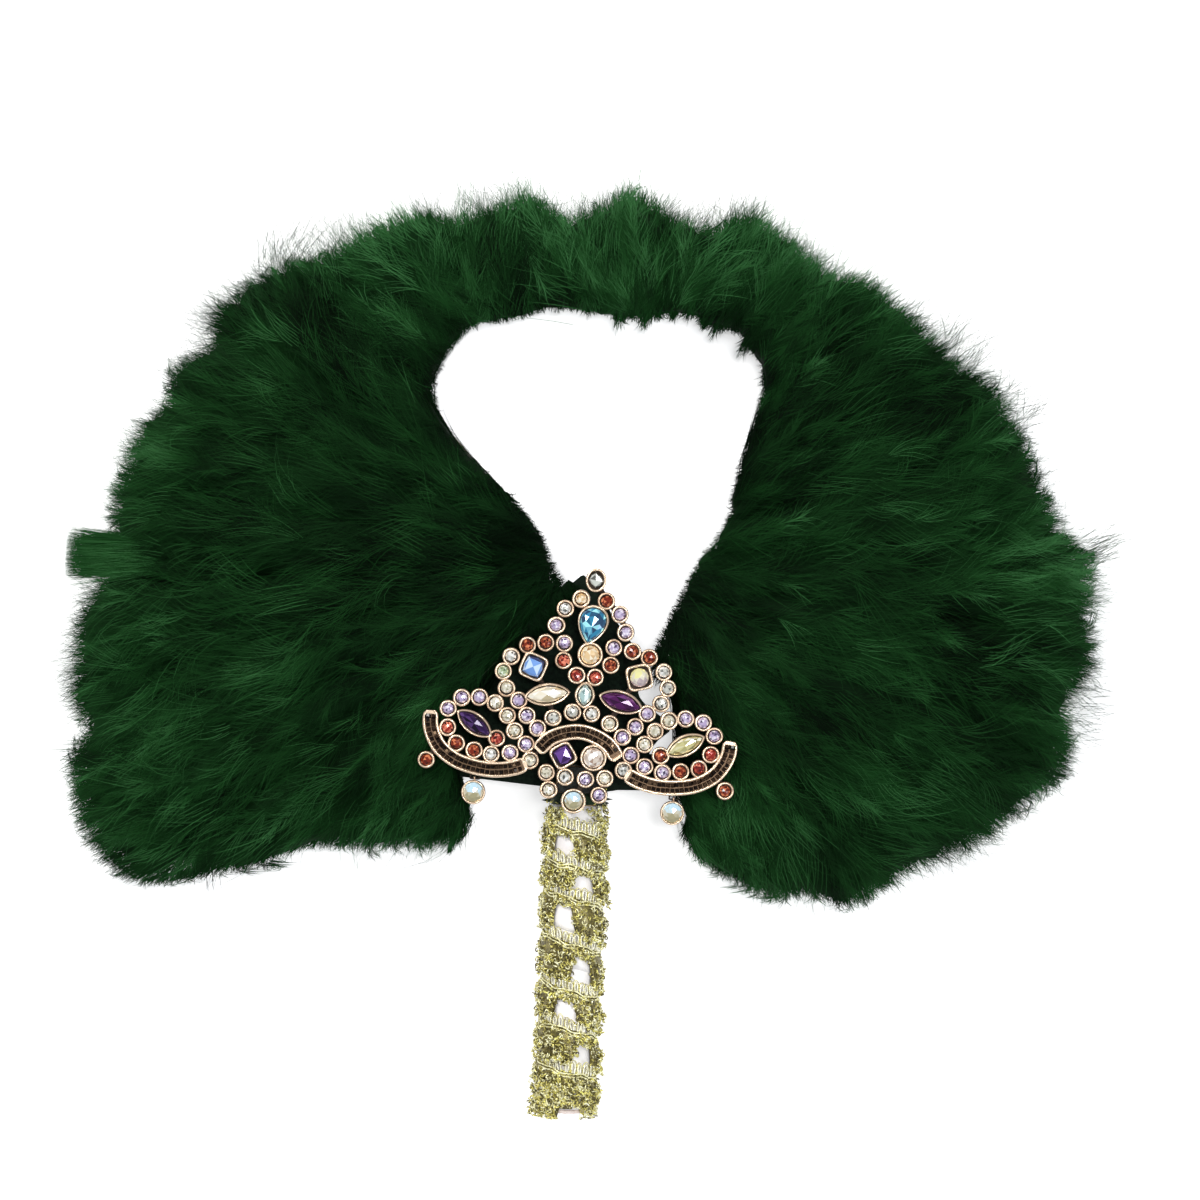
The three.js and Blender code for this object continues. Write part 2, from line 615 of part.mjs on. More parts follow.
function addBrooch() {
  const jewel = new THREE.Group();
  jewel.position.set(brooch.x, broochY, broochBack);
  jewel.rotation.z = radians(brooch.tiltDegrees);
  fan.add(jewel);
  const gold = finish(0xd8b79a, 0.3, 1);
  place("brooch_frame", broochFrameGeometry(), gold, jewel);
  for (const stone of gems) place(stone.name, gemGeometry(stone, 0, cup.height), stone.material, jewel);
  const stripWidth = band.channel - 2 * seatGap;
  const stripLow = band.floor + seatGap;
  const stripTop = band.height + pave.proud;
  for (const [where, run] of Object.entries(runs)) {
    const strip = runBar(run, stripWidth, stripLow, stripTop, band.endLand + seatGap);
    place(`pave_strip_${where}`, strip, finish(0x3b2216, 0.2, 0.2), jewel);
  }
  for (const where of Object.keys(sides)) addDrop(jewel, where, gold);
}

// The foam pad that the brooch is glued to, hollowed to sit on the dowel.
function addPad() {
  const top = broochBack - seatGap;
  const block = new THREE.BoxGeometry(pad.width, pad.length, pad.depth).translate(
    0,
    dowel.length - pad.length / 2,
    top - pad.depth / 2,
  );
  place("brooch_pad", geometryOf(solid(block).subtract(dowelCutter)), finish(0x1b1f1b, 0.9));
}

addHandle();
addBoard();
addPlumes();
addPad();
addBrooch();

export default fan;
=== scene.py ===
"""A green marabou hand fan: downy plumes, a ribbon-bound handle wound with gimp, and a jewelled brooch.

Shapes are worked out in millimetres and scaled to metres when a mesh is made.
"""

import json
import math

import bmesh
import bpy
import numpy as np
from mathutils import Matrix, Vector


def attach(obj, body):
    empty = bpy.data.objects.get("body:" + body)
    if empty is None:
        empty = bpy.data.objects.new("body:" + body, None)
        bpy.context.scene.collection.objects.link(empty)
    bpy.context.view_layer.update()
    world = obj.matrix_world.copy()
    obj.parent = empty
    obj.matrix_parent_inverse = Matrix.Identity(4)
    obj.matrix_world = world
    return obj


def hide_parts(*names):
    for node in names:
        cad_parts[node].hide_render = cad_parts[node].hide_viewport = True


MM = 0.001
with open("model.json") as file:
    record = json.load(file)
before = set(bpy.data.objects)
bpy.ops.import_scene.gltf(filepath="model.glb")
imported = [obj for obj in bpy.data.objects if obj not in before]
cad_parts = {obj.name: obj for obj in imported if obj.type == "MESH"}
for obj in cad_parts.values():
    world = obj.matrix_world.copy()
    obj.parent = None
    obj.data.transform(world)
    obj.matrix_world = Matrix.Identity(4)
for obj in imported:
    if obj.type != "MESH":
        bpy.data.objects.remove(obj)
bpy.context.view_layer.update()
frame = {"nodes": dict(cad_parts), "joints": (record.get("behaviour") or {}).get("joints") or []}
nodes = frame["nodes"]
FAN_BODY = "fan_body"


# Camera, floor and light


PICTURE_WIDTH = 456
PICTURE_MIDDLE = (5.3, 195.7, 8)
PICTURE_TURN = math.radians(2.4)


def place_camera():
    """Straight down on the fan, turned a little as in the photograph."""
    camera = bpy.data.cameras.new("camera")
    camera.lens = 85
    camera.sensor_width = 36
    camera.clip_start = 0.01
    camera.clip_end = 20
    eye = bpy.data.objects.new("camera", camera)
    distance = PICTURE_WIDTH * camera.lens / camera.sensor_width
    x, y, z = PICTURE_MIDDLE
    eye.location = Vector((x, y, z + distance)) * MM
    eye.rotation_euler = (0, 0, PICTURE_TURN)
    bpy.context.scene.collection.objects.link(eye)
    bpy.context.scene.camera = eye


def add_lamp(name, place, aim, size, power, colour):
    lamp = bpy.data.lights.new(name, "AREA")
    lamp.shape = "DISK"
    lamp.size = size
    lamp.energy = power
    lamp.color = colour
    holder = bpy.data.objects.new(name, lamp)
    holder.location = Vector(place)
    holder.rotation_euler = (Vector(aim) - Vector(place)).to_track_quat("-Z", "Y").to_euler()
    bpy.context.scene.collection.objects.link(holder)


def light_studio():
    scene = bpy.context.scene
    scene.view_settings.view_transform = "Standard"
    world = bpy.data.worlds.new("studio")
    world.use_nodes = True
    scene.world = world
    tree = world.node_tree
    tree.nodes.clear()
    rays = tree.nodes.new("ShaderNodeLightPath")
    mix = tree.nodes.new("ShaderNodeMixShader")
    out = tree.nodes.new("ShaderNodeOutputWorld")
    # What lights the fan, and what the camera sees behind it: colour and strength.
    backdrops = (((0.93, 0.96, 1, 1), 0.5), ((1, 1, 1, 1), 1))
    for socket, (colour, strength) in enumerate(backdrops, 1):
        backdrop = tree.nodes.new("ShaderNodeBackground")
        backdrop.inputs["Color"].default_value = colour
        backdrop.inputs["Strength"].default_value = strength
        tree.links.new(backdrop.outputs["Background"], mix.inputs[socket])
    tree.links.new(rays.outputs["Is Camera Ray"], mix.inputs["Fac"])
    tree.links.new(mix.outputs["Shader"], out.inputs["Surface"])
    middle = (0, 0.2, 0)
    add_lamp("key_lamp", (-0.9, 1.2, 1.5), middle, 0.7, 26, (1, 0.985, 0.96))
    add_lamp("fill_lamp", (1.1, -0.3, 1.4), middle, 0.9, 11, (0.95, 0.98, 1))
    add_lamp("top_lamp", (0.25, 0.35, 1.9), middle, 0.35, 9, (1, 1, 1))


def lay_floor(material):
    bm = bmesh.new()
    bmesh.ops.create_grid(bm, x_segments=1, y_segments=1, size=3)
    bmesh.ops.translate(bm, vec=(0, 0.2, FLOOR_Z * MM), verts=bm.verts)
    mesh = mesh_of(bm, "floor")
    mesh.materials.append(material)
    floor = bpy.data.objects.new("floor", mesh)
    bpy.context.scene.collection.objects.link(floor)


# Making pieces


def mesh_of(bm, name="part"):
    mesh = bpy.data.meshes.new(name)
    bm.to_mesh(mesh)
    bm.free()
    return mesh


def piece_from(bm, name, materials, body=FAN_BODY, smooth=True):
    """A bmesh in millimetres becomes a piece that rides on a body."""
    bmesh.ops.scale(bm, vec=(MM, MM, MM), verts=bm.verts)
    for face in bm.faces:
        face.smooth = smooth
    return settle(mesh_of(bm, name), name, materials, body)


def settle(mesh, name, materials, body):
    thing = bpy.data.objects.new(name, mesh)
    for material in materials:
        mesh.materials.append(material)
    bpy.context.scene.collection.objects.link(thing)
    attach(thing, body)
    return thing


def stamp(bm, part, matrix=Matrix.Identity(4), finish=0):
    """Adds a mesh or another bmesh to a bmesh, placed by a matrix."""
    if isinstance(part, bmesh.types.BMesh):
        part = mesh_of(part)
    first_vert = len(bm.verts)
    first_face = len(bm.faces)
    bm.from_mesh(part)
    bm.verts.ensure_lookup_table()
    bm.faces.ensure_lookup_table()
    bmesh.ops.transform(bm, matrix=matrix, verts=bm.verts[first_vert:])
    for face in bm.faces[first_face:]:
        face.material_index = finish


def node_copy(name):
    """A CAD node's mesh as a merged bmesh in millimetres."""
    bm = bmesh.new()
    bm.from_mesh(nodes[name].data)
    bmesh.ops.scale(bm, vec=(1 / MM, 1 / MM, 1 / MM), verts=bm.verts)
    bmesh.ops.remove_doubles(bm, verts=bm.verts, dist=1e-3)
    bmesh.ops.recalc_face_normals(bm, faces=bm.faces)
    return bm


def turned(profile, steps):
    """A full turn of a profile of (radius, height) round Z."""
    bm = bmesh.new()
    ring = [bm.verts.new((radius, 0, height)) for radius, height in profile]
    edges = [bm.edges.new(pair) for pair in zip(ring, ring[1:])]
    round_z = {"cent": (0, 0, 0), "axis": (0, 0, 1), "angle": 2 * math.pi}
    bmesh.ops.spin(bm, geom=ring + edges, **round_z, steps=steps, use_merge=True)
    bmesh.ops.remove_doubles(bm, verts=bm.verts, dist=1e-3)
    bmesh.ops.recalc_face_normals(bm, faces=bm.faces)
    return bm


def turn_to_handle(bm):
    """What was made round Z comes to lie round the handle's line."""
    bmesh.ops.rotate(bm, cent=(0, 0, 0), matrix=Matrix.Rotation(-math.pi / 2, 3, "X"), verts=bm.verts)


def round_edges(bm, edges, offset, segments, clamp=True):
    way = {"offset_type": "OFFSET", "profile": 0.5, "affect": "EDGES", "material": -1}
    bmesh.ops.bevel(bm, geom=edges, offset=offset, segments=segments, clamp_overlap=clamp, **way)


def merge_flat(bm):
    """Joins the triangles of each flat face."""
    bmesh.ops.dissolve_limit(bm, angle_limit=math.radians(2), verts=bm.verts, edges=bm.edges)


def round_rims(bm, least_angle, offset, segments):
    """Rounds the edges where two faces meet at more than an angle."""
    rims = [e for e in bm.edges if e.is_manifold and e.calc_face_angle(0) > least_angle]
    round_edges(bm, rims, offset, segments)


def cord_mesh(lines, thickness, resolution=0):
    """Round cords along rows of points, as one mesh in millimetres."""
    curve = bpy.data.curves.new("cords", "CURVE")
    curve.dimensions = "3D"
    curve.bevel_depth = thickness / 2
    curve.bevel_resolution = resolution
    curve.use_fill_caps = True
    for points in lines:
        spline = curve.splines.new("POLY")
        spline.points.add(len(points) - 1)
        flat = np.ones((len(points), 4))
        flat[:, :3] = points
        spline.points.foreach_set("co", flat.ravel())
    holder = bpy.data.objects.new("cords", curve)
    mesh = bpy.data.meshes.new_from_object(holder)
    bpy.data.objects.remove(holder)
    bpy.data.curves.remove(curve)
    return mesh


def add_cords(bm, groups):
    """Adds groups of (lines, thickness, resolution, finish) to a bmesh."""
    for lines, thickness, resolution, finish in groups:
        stamp(bm, cord_mesh(lines, thickness, resolution), finish=finish)


# Finishes


class Finish:
    """A node material whose shader is at hand while it is wired."""

    def __init__(self, name, colour, roughness, metallic=0.0, **sockets):
        self.material = bpy.data.materials.new(name)
        self.material.use_nodes = True
        self.tree = self.material.node_tree
        self.shader = self.tree.nodes["Principled BSDF"]
        self.set("Base Color", (*colour, 1))
        self.set("Roughness", roughness)
        self.set("Metallic", metallic)
        for socket, value in sockets.items():
            self.set(socket.replace("_", " "), value)

    def set(self, socket, value):
        self.shader.inputs[socket].default_value = value

    def add(self, kind, inputs=None, **settings):
        made = self.tree.nodes.new("ShaderNode" + kind)
        for key, value in settings.items():
            setattr(made, key, value)
        for key, value in (inputs or {}).items():
            if isinstance(value, bpy.types.NodeSocket):
                self.tree.links.new(value, made.inputs[key])
            else:
                made.inputs[key].default_value = value
        return made

    def wire(self, output, socket):
        self.tree.links.new(output, self.shader.inputs[socket])

    def place(self):
        return self.add("TexCoord").outputs["Object"]

    def noise(self, scale, detail=3, vector=None):
        inputs = {"Vector": vector or self.place(), "Scale": scale, "Detail": detail}
        return self.add("TexNoise", inputs).outputs["Fac"]

    def attribute(self, name):
        return self.add("Attribute", attribute_name=name).outputs["Fac"]

    def math(self, operation, first, second):
        return self.add("Math", {0: first, 1: second}, operation=operation).outputs["Value"]

    def map_range(self, value, low, high, to_low, to_high):
        inputs = {"Value": value, "From Min": low, "From Max": high, "To Min": to_low, "To Max": to_high}
        return self.add("MapRange", inputs).outputs["Result"]

    def ramp(self, factor, stops):
        made = self.add("ValToRGB", {"Fac": factor})
        elements = made.color_ramp.elements
        while len(elements) < len(stops):
            elements.new(0.5)
        for element, (position, colour) in zip(elements, stops):
            element.position = position
            element.color = (*colour, 1)
        return made.outputs["Color"]

    def bump(self, height, strength, distance):
        made = self.add("Bump", {"Height": height, "Strength": strength, "Distance": distance})
        self.wire(made.outputs["Normal"], "Normal")


def floor_finish():
    """White to the camera, with the object's own soft shadow left on it."""
    made = Finish("white_floor", (0.82, 0.82, 0.82), 0.9)
    made.set("Specular IOR Level", 0)
    rays = made.add("LightPath").outputs
    seen = made.math("MAXIMUM", rays["Is Camera Ray"], rays["Is Glossy Ray"])
    seen = made.math("MAXIMUM", seen, rays["Is Transmission Ray"])
    glow = made.add("Emission", {"Color": (1, 1, 1, 1), "Strength": made.math("MULTIPLY", seen, 0.6)})
    both = made.add("AddShader", {0: made.shader.outputs[0], 1: glow.outputs[0]})
    made.tree.links.new(both.outputs[0], made.tree.nodes["Material Output"].inputs["Surface"])
    return made.material


def down_finish():
    """Dyed marabou down, with painted shade deep at the roots and painted light on the brighter green tips.
    """
    made = Finish("marabou_down", (0.01, 0.05, 0.012), 0.7, Specular_IOR_Level=0.04)
    patches = made.math("MULTIPLY", made.math("SUBTRACT", made.noise(26, 2), 0.5), 0.75)
    tone = made.math("ADD", made.attribute("tone"), patches)
    colour = made.ramp(
        tone,
        [
            (0.0, (0.001, 0.0055, 0.0014)),
            (0.35, (0.0031, 0.0192, 0.004)),
            (0.7, (0.0089, 0.051, 0.0107)),
            (1.0, (0.038, 0.141, 0.043)),
        ],
    )
    made.wire(colour, "Base Color")
    return made.material


def satin_finish(name, light, shade):
    made = Finish(name, light, 0.33, Specular_IOR_Level=0.5, Sheen_Weight=0.2)
    made.set("Anisotropic", 0.4)
    uv = made.add("UVMap").outputs["UV"]
    waves = {"Vector": uv, "Scale": 260, "Distortion": 0.6, "Detail": 1}
    threads = made.add("TexWave", waves, bands_direction="Y").outputs["Fac"]
    creases = made.noise(90, 3)
    # The colour is painted darker where the creases sink: painted shade.
    made.wire(made.ramp(creases, [(0.3, shade), (0.55, light)]), "Base Color")
    made.bump(made.math("ADD", made.math("MULTIPLY", threads, 0.15), creases), 0.35, 0.0004)
    return made.material


def gimp_finish(name, dark, light):
    """Metallic thread, twisted, with painted shade in the gaps between its turns and a painted glint where
    it is brightest.
    """
    made = Finish(name, light, 0.28, 0.4, Specular_IOR_Level=0.7)
    fine = made.noise(1400, 2)
    broad = made.noise(260, 2)
    mixed = made.math("ADD", made.math("MULTIPLY", fine, 0.65), made.math("MULTIPLY", broad, 0.35))
    glint = tuple(min(1, c * 1.5) for c in light)
    made.wire(made.ramp(mixed, [(0.36, dark), (0.52, light), (0.68, glint)]), "Base Color")
    made.bump(fine, 0.5, 0.0002)
    return made.material


def grained_finish(name, colour, roughness, grain, stops, relief, stretch=None, **sockets):
    """A finish whose colour and relief follow one noise.

    grain is the noise's scale and detail, and relief the bump's strength and depth.
    """
    made = Finish(name, colour, roughness, **sockets)
    vector = stretch and made.add("Mapping", {"Vector": made.place(), "Scale": stretch}).outputs["Vector"]
    noise = made.noise(*grain, vector)
    made.wire(made.ramp(noise, stops), "Base Color")
    made.bump(noise, *relief)
    return made.material


def felt_finish(name, dark, light):
    stops = [(0.35, dark), (0.65, light)]
    return grained_finish(
        name, light, 0.95, (900, 4), stops, (0.6, 0.0004), Specular_IOR_Level=0.1, Sheen_Weight=0.3
    )


def board_finish():
    stops = [(0.35, (0.1, 0.085, 0.065)), (0.6, (0.19, 0.165, 0.13))]
    colour = (0.15, 0.13, 0.1)
    return grained_finish("greyboard", colour, 0.9, (700, 4), stops, (0.3, 0.0003), Specular_IOR_Level=0.2)


def birch_finish():
    stops = [(0.3, (0.45, 0.27, 0.12)), (0.7, (0.66, 0.46, 0.26))]
    colour, along_grain = (0.55, 0.36, 0.18), (1, 0.08, 1)
    return grained_finish("birch", colour, 0.6, (900, 4), stops, (0.2, 0.0002), along_grain)


def steel_finish():
    stops = [(0.3, (0.4, 0.4, 0.41)), (0.7, (0.62, 0.62, 0.63))]
    return grained_finish("steel", (0.55, 0.55, 0.56), 0.3, (1200, 3), stops, (0.15, 0.0001), metallic=1.0)


def satin_disc_finish():
    stops = [(0.3, (0.78, 0.63, 0.57)), (0.65, (0.9, 0.78, 0.72))]
    colour = (0.86, 0.72, 0.66)
    return grained_finish("blush_satin", colour, 0.4, (1500, 2), stops, (0.3, 0.0001), Sheen_Weight=0.2)


def foam_finish():
    made = Finish("foam", (0.02, 0.022, 0.02), 0.95)
    cells = made.add("TexVoronoi", {"Vector": made.place(), "Scale": 1600}).outputs["Distance"]
    made.wire(made.ramp(cells, [(0.1, (0.006, 0.007, 0.006)), (0.6, (0.03, 0.033, 0.03))]), "Base Color")
    made.bump(cells, 0.6, 0.0003)
    return made.material


METAL_LOW, METAL_HIGH = 0.0155, 0.0166  # metres up: below, the metal is darker, partly patina in the hollows and partly painted shade; above, the rims are bright with painted light


def rose_gold_finish(name, plain, bright):
    """Cast and plated metal, darker the lower it lies: partly a dark patina in the hollows and partly
    painted shade, with painted light on the pale rims on top.
    """
    made = Finish(name, plain, 0.28, 0.7)
    height = made.add("SeparateXYZ", {"Vector": made.place()}).outputs["Z"]
    pitted = made.noise(1500, 3)
    # Height paints the metal: dark low down, partly patina and partly painted shade, and bright on top as
    # painted light.
    raised = made.map_range(height, METAL_LOW, METAL_HIGH, 0, 0.8)
    pits_and_painted_light = made.math("ADD", raised, made.math("MULTIPLY", pitted, 0.3))
    shaded = tuple(0.22 * c for c in plain)
    colour = made.ramp(pits_and_painted_light, [(0.12, (0.02, 0.012, 0.008)), (0.45, shaded), (0.76, plain), (1, bright)])
    made.wire(colour, "Base Color")
    made.wire(made.map_range(pits_and_painted_light, 0.2, 0.9, 0.55, 0.24), "Roughness")
    made.bump(pitted, 0.25, 0.00012)
    return made.material


def glass_finish(name, dark, light, flash):
    """Foil-backed cut glass: each facet is painted with its own share of light and shade, up to a painted
    glint, and the darkest glass shines least.
    """
    shine = min(1.0, 0.08 + 1.2 * sum(light))
    made = Finish(name, light, 0.06, 0.35 * shine, Specular_IOR_Level=0.8 * shine)
    made.set("Coat Weight", shine)
    made.set("Coat Roughness", 0.03)
    colour = made.ramp(made.attribute("facet"), [(0.06, dark), (0.36, light), (0.62, light), (0.94, flash)])
    made.wire(colour, "Base Color")
    return made.material


# Shape values that follow the part's source

HUB = np.array([0.9, 210.7])
BROOCH_AT = np.array([-0.9, 133.0, 13.0])
BROOCH_TILT = math.radians(-3.6)
BROOCH_HALF_WIDTH = 60
FLOOR_Z = -16.2
RAY_DEGREES = np.array(
    [
        -68, -57, -45, -32, -19, -7, 5, 18, 31, 43, 55, 67, 79, 91, 103, 115, 127, 138, 149, 161, 173,
        185, 196, 207, 217, 229, 247.5,
    ]
)
RIGHT_PLUMES = 9
ARCH_PLUMES = 8


# The down's outline round the hub: degrees, inner edge, where it is still dense, and its last soft tips.
EDGE = np.array(
    [
        (-72, 104, 112, 116), (-68, 94, 121, 124), (-66, 87, 127, 130), (-60, 75, 144, 147),
        (-57, 62.5, 149, 154), (-54, 50, 154, 161), (-51, 41.5, 165.5, 169), (-48, 39.5, 169, 173),
        (-42, 38, 170, 174), (-36, 37, 179, 186), (-30, 36, 187, 194), (-25, 36, 194, 204),
        (-21, 36, 200.5, 207), (-18, 36, 196, 204), (-15, 37, 190, 200), (-12, 37, 193, 201),
        (-9, 37, 197, 204), (-6, 38, 193, 202), (0, 40, 191, 200), (3, 41, 192, 201), (6, 43, 180, 193),
        (12, 48, 174, 184), (18, 53, 172, 181), (24, 57, 169, 180), (27, 59, 166, 178), (30, 62, 159, 170),
        (36, 68, 156, 168), (42, 80, 153, 163), (48, 94, 152, 162), (51, 99, 144, 156), (57, 101, 143, 152),
        (60, 103, 144, 151), (66, 98, 146, 157), (69, 101, 145, 158), (72, 100, 134, 152),
        (78, 95, 135, 143), (84, 92, 142, 148), (87, 93, 142, 148), (91, 94, 134, 142), (96, 95, 130, 140),
        (99, 96, 135, 146), (102, 97, 142, 153), (108, 96, 140, 153), (114, 97, 140, 149),
        (117, 100, 147, 155), (120, 99, 150, 158), (124, 98, 153, 161), (132, 92, 153, 171),
        (135, 88, 156, 172), (138, 83, 161, 174), (141, 66, 165, 178), (143.5, 37, 169, 180),
        (147, 30, 172, 184), (150, 24, 171, 184), (153, 21, 166, 180), (156, 19.5, 174, 184),
        (159, 18, 176, 184), (162, 17, 172, 180), (165, 16.5, 180, 187), (171, 16, 181, 189),
        (174, 15, 184, 190), (177, 14.5, 183, 189), (183, 14, 182, 188), (186, 13, 189, 201),
        (189, 13, 197, 206), (195, 13, 202, 212), (198, 13, 206, 215), (201, 13, 202, 214),
        (204, 12, 214, 224), (210, 12, 220, 226), (216, 12, 218, 222), (219, 12, 209, 213),
        (222, 12, 188.5, 192), (225, 13, 171, 174), (228, 13, 153, 158), (231, 40, 146, 150),
        (234, 80, 141, 145), (240, 93, 129, 133), (246, 103, 122.5, 126), (250, 111, 117, 120),
    ]
)
# Along a plume, from its root: the share of its top height and of its back depth.
ALONG = np.array([0, 0.08, 0.26, 0.5, 0.74, 0.92, 1, 1.08])
TOP_SHARE = np.array([0.2, 0.5, 0.86, 1, 0.9, 0.55, 0.16, 0])
BACK_SHARE = np.array([0.25, 0.7, 1, 1, 1, 0.72, 0.3, 0.05])
PLUME_TOP = 27
PLUME_BACK = 14
CORE_SHARE = 0.8
# The down may stand this high under the brooch, and higher with the distance past an oval round it.
NEST_TOP = 10.4
NEST_HALF_WIDTH = 68
NEST_HALF_HEIGHT = 64.2
NEST_SHIFT = 0.32  # how far up the oval's middle lies, in shares of its half height
NEST_SLOPE = 0.5
# How far a hair may go: to the left and the right, up the fan, up from the fan and round it in degrees.
HAIR_REACH = (-221, 217.5)
HAIR_TOP = 373
CEILING = 34
FAN_ENDS = (-69, 246)


def unit(rows):
    """Rows of vectors, each made one long."""
    return rows / np.maximum(np.linalg.norm(rows, axis=-1, keepdims=True), 1e-9)


def around(radius, angle):
    """Places at a distance and an angle round the hub."""
    return HUB[0] + radius * np.cos(angle), HUB[1] + radius * np.sin(angle)


def polar(x, y):
    """Degrees from +X, opened at the fan's gap, and the distance from the hub."""
    degrees = np.degrees(np.arctan2(y - HUB[1], x - HUB[0]))
    degrees = np.where(degrees < -91, degrees + 360, degrees)
    return degrees, np.hypot(x - HUB[0], y - HUB[1])


def edges_at(degrees):
    return tuple(np.interp(degrees, EDGE[:, 0], EDGE[:, column]) for column in (1, 2, 3))


def nest_limit(x, y):
    """How high the down may stand under and round the brooch."""
    across = (x - BROOCH_AT[0]) / NEST_HALF_WIDTH
    up = (y - BROOCH_AT[1]) / NEST_HALF_HEIGHT - NEST_SHIFT
    return NEST_TOP + NEST_SLOPE * np.maximum(0, np.hypot(across, up) - 1) * NEST_HALF_WIDTH


def above_table(z):
    return np.clip(z, FLOOR_Z + 0.5, CEILING)


def down_surface(x, y):
    """The core's top and back heights, and the share along the plume, at a place."""
    degrees, radius = polar(x, y)
    inner, outer, _ = edges_at(degrees)
    along = (radius - inner) / (outer - inner)
    index = np.clip(np.searchsorted(RAY_DEGREES, degrees) - 1, 0, len(RAY_DEGREES) - 2)
    before, after = RAY_DEGREES[index], RAY_DEGREES[index + 1]
    across = np.clip((degrees - before) / (after - before), 0, 1)
    swell = 0.74 + 0.26 * np.sin(np.pi * across)
    height = PLUME_TOP * (0.68 + 0.32 * np.minimum(1, (outer - inner) / 140))
    top = height * np.interp(along, ALONG, TOP_SHARE) * swell * CORE_SHARE
    back = PLUME_BACK * np.interp(along, ALONG, BACK_SHARE) * CORE_SHARE
    return np.minimum(top, nest_limit(x, y) - 1.2), back, along


# Masses of down that lie in shade or catch the light: centre, radius, and the change in tone.
SHADES = np.array(
    [
        (-132, 304, 9, -0.25), (-113, 303, 8, -0.15), (-40, 314, 12, -0.33), (38, 332, 8, -0.15),
        (116, 278, 17, -0.38), (96, 302, 8, -0.12), (157, 257, 10, -0.33), (128, 262, 10, -0.2),
        (-60, 204, 14, -0.1), (-111, 236, 12, -0.12), (-152, 104, 9, -0.33), (93, 116, 6, -0.22),
        (138, 194, 14, -0.2), (75, 164, 14, -0.12), (-33, 341, 7, 0.3), (8, 338, 8, 0.2),
        (34, 326, 9, 0.14), (-78, 329, 12, 0.15), (-99, 321, 8, 0.12), (-120, 290, 7, 0.25),
        (-105, 279, 10, 0.1), (-151, 284, 8, 0.12), (-179, 234, 12, 0.22), (-157, 155, 12, -0.25),
        (-125, 139, 16, 0.12), (-180, 118, 9, 0.25), (-186, 169, 10, 0.2), (113, 234, 16, 0.12),
        (160, 217, 16, 0.24), (181, 188, 10, 0.18), (109, 318, 10, 0.24), (138, 296, 8, 0.15),
        (179, 135, 10, 0.12), (47, 102, 12, 0.12), (108, 101, 10, 0.14), (0, 312, 13, 0.2),
        (-98, 307, 12, -0.08), (-142, 258, 15, -0.08), (-84, 285, 14, -0.5), (-100, 263, 13, -0.28),
        (-112, 311, 9, -0.3), (-86, 312, 9, -0.12), (-139, 203, 14, -0.3), (-160, 136, 13, -0.24),
        (-104, 125, 12, -0.12), (52, 220, 16, 0.35), (134, 188, 12, -0.38), (74, 318, 10, -0.3),
        (76, 292, 11, -0.25), (24, 314, 12, 0.08), (-30, 208, 10, 0.2), (152, 136, 18, -0.12),
        (160, 110, 9, 0.15),
    ]
)


def patches_at(x, y):
    total = np.zeros_like(x)
    for centre_x, centre_y, radius, change in SHADES:
        total += change * np.exp(-((x - centre_x) ** 2 + (y - centre_y) ** 2) / (1.2 * radius**2))
    return total


def ripple(x, y, scale, seed):
    """A smooth field from -1 to 1, for headings and shades that change from place to place."""
    rng = np.random.default_rng(seed)
    total = np.zeros_like(x)
    for _ in range(5):
        angle = rng.uniform(0, 2 * math.pi)
        wave = rng.uniform(0.6, 1.5) * 2 * math.pi / scale
        total += np.sin((x * math.cos(angle) + y * math.sin(angle)) * wave + rng.uniform(0, 6.3))
    return total / 3.2


STEPS = 4  # widths along a barb, before its point
WIDTH_SHARES = np.array([0.85, 1, 0.85, 0.55])
ALONG_BARB = np.linspace(0, 1, STEPS + 1)


class Barbs:
    """Collects downy barbs as flat tapering strips."""

    def __init__(self):
        self.left, self.right, self.tip, self.normal, self.tone = [], [], [], [], []

    def add(self, points, width, facing, soft, tone):
        """points (n, 5, 3) from root to tip; facing and soft are unit normals (n, 3); tone (n, 5)."""
        onward = points[:, -1] - points[:, 0]
        aside = unit(np.cross(facing, onward))
        half = 0.5 * width[:, None, None] * WIDTH_SHARES[None, :, None] * aside[:, None, :]
        self.left.append(points[:, :STEPS] + half)
        self.right.append(points[:, :STEPS] - half)
        self.tip.append(points[:, STEPS])
        own = unit(np.cross(onward, aside))
        own *= np.sign((own * soft).sum(1, keepdims=True) + 1e-9)
        self.normal.append(unit(0.22 * own + 0.78 * soft))
        self.tone.append(tone)

    def arrays(self):
        left, right, tip = (np.concatenate(x) for x in (self.left, self.right, self.tip))
        normal, tone = np.concatenate(self.normal), np.concatenate(self.tone)
        count = len(tip)
        size = 2 * STEPS + 1
        points = np.concatenate([left, right, tip[:, None]], axis=1)
        # A strip's faces turn to the side its soft normal is on.
        span = np.cross(right[:, 0] - left[:, 0], left[:, 1] - left[:, 0])
        turn_over = (span * normal).sum(1) < 0
        pattern, flipped = [], []
        for j in range(STEPS - 1):
            quad = [j, STEPS + j, STEPS + j + 1, j + 1]
            pattern += quad
            flipped += quad[::-1]
        pattern += [STEPS - 1, 2 * STEPS - 1, 2 * STEPS]
        flipped += [2 * STEPS, 2 * STEPS - 1, STEPS - 1]
        loops = np.where(turn_over[:, None], np.array(flipped)[None], np.array(pattern)[None])
        loops = loops + (np.arange(count) * size)[:, None]
        totals = np.tile(np.array([4] * (STEPS - 1) + [3]), count)
        shade = np.concatenate([tone[:, :STEPS], tone[:, :STEPS], tone[:, STEPS:]], axis=1)
        normals = np.repeat(normal[:, None], size, axis=1)
        return points.reshape(-1, 3), loops.ravel(), totals, normals.reshape(-1, 3), shade.ravel()


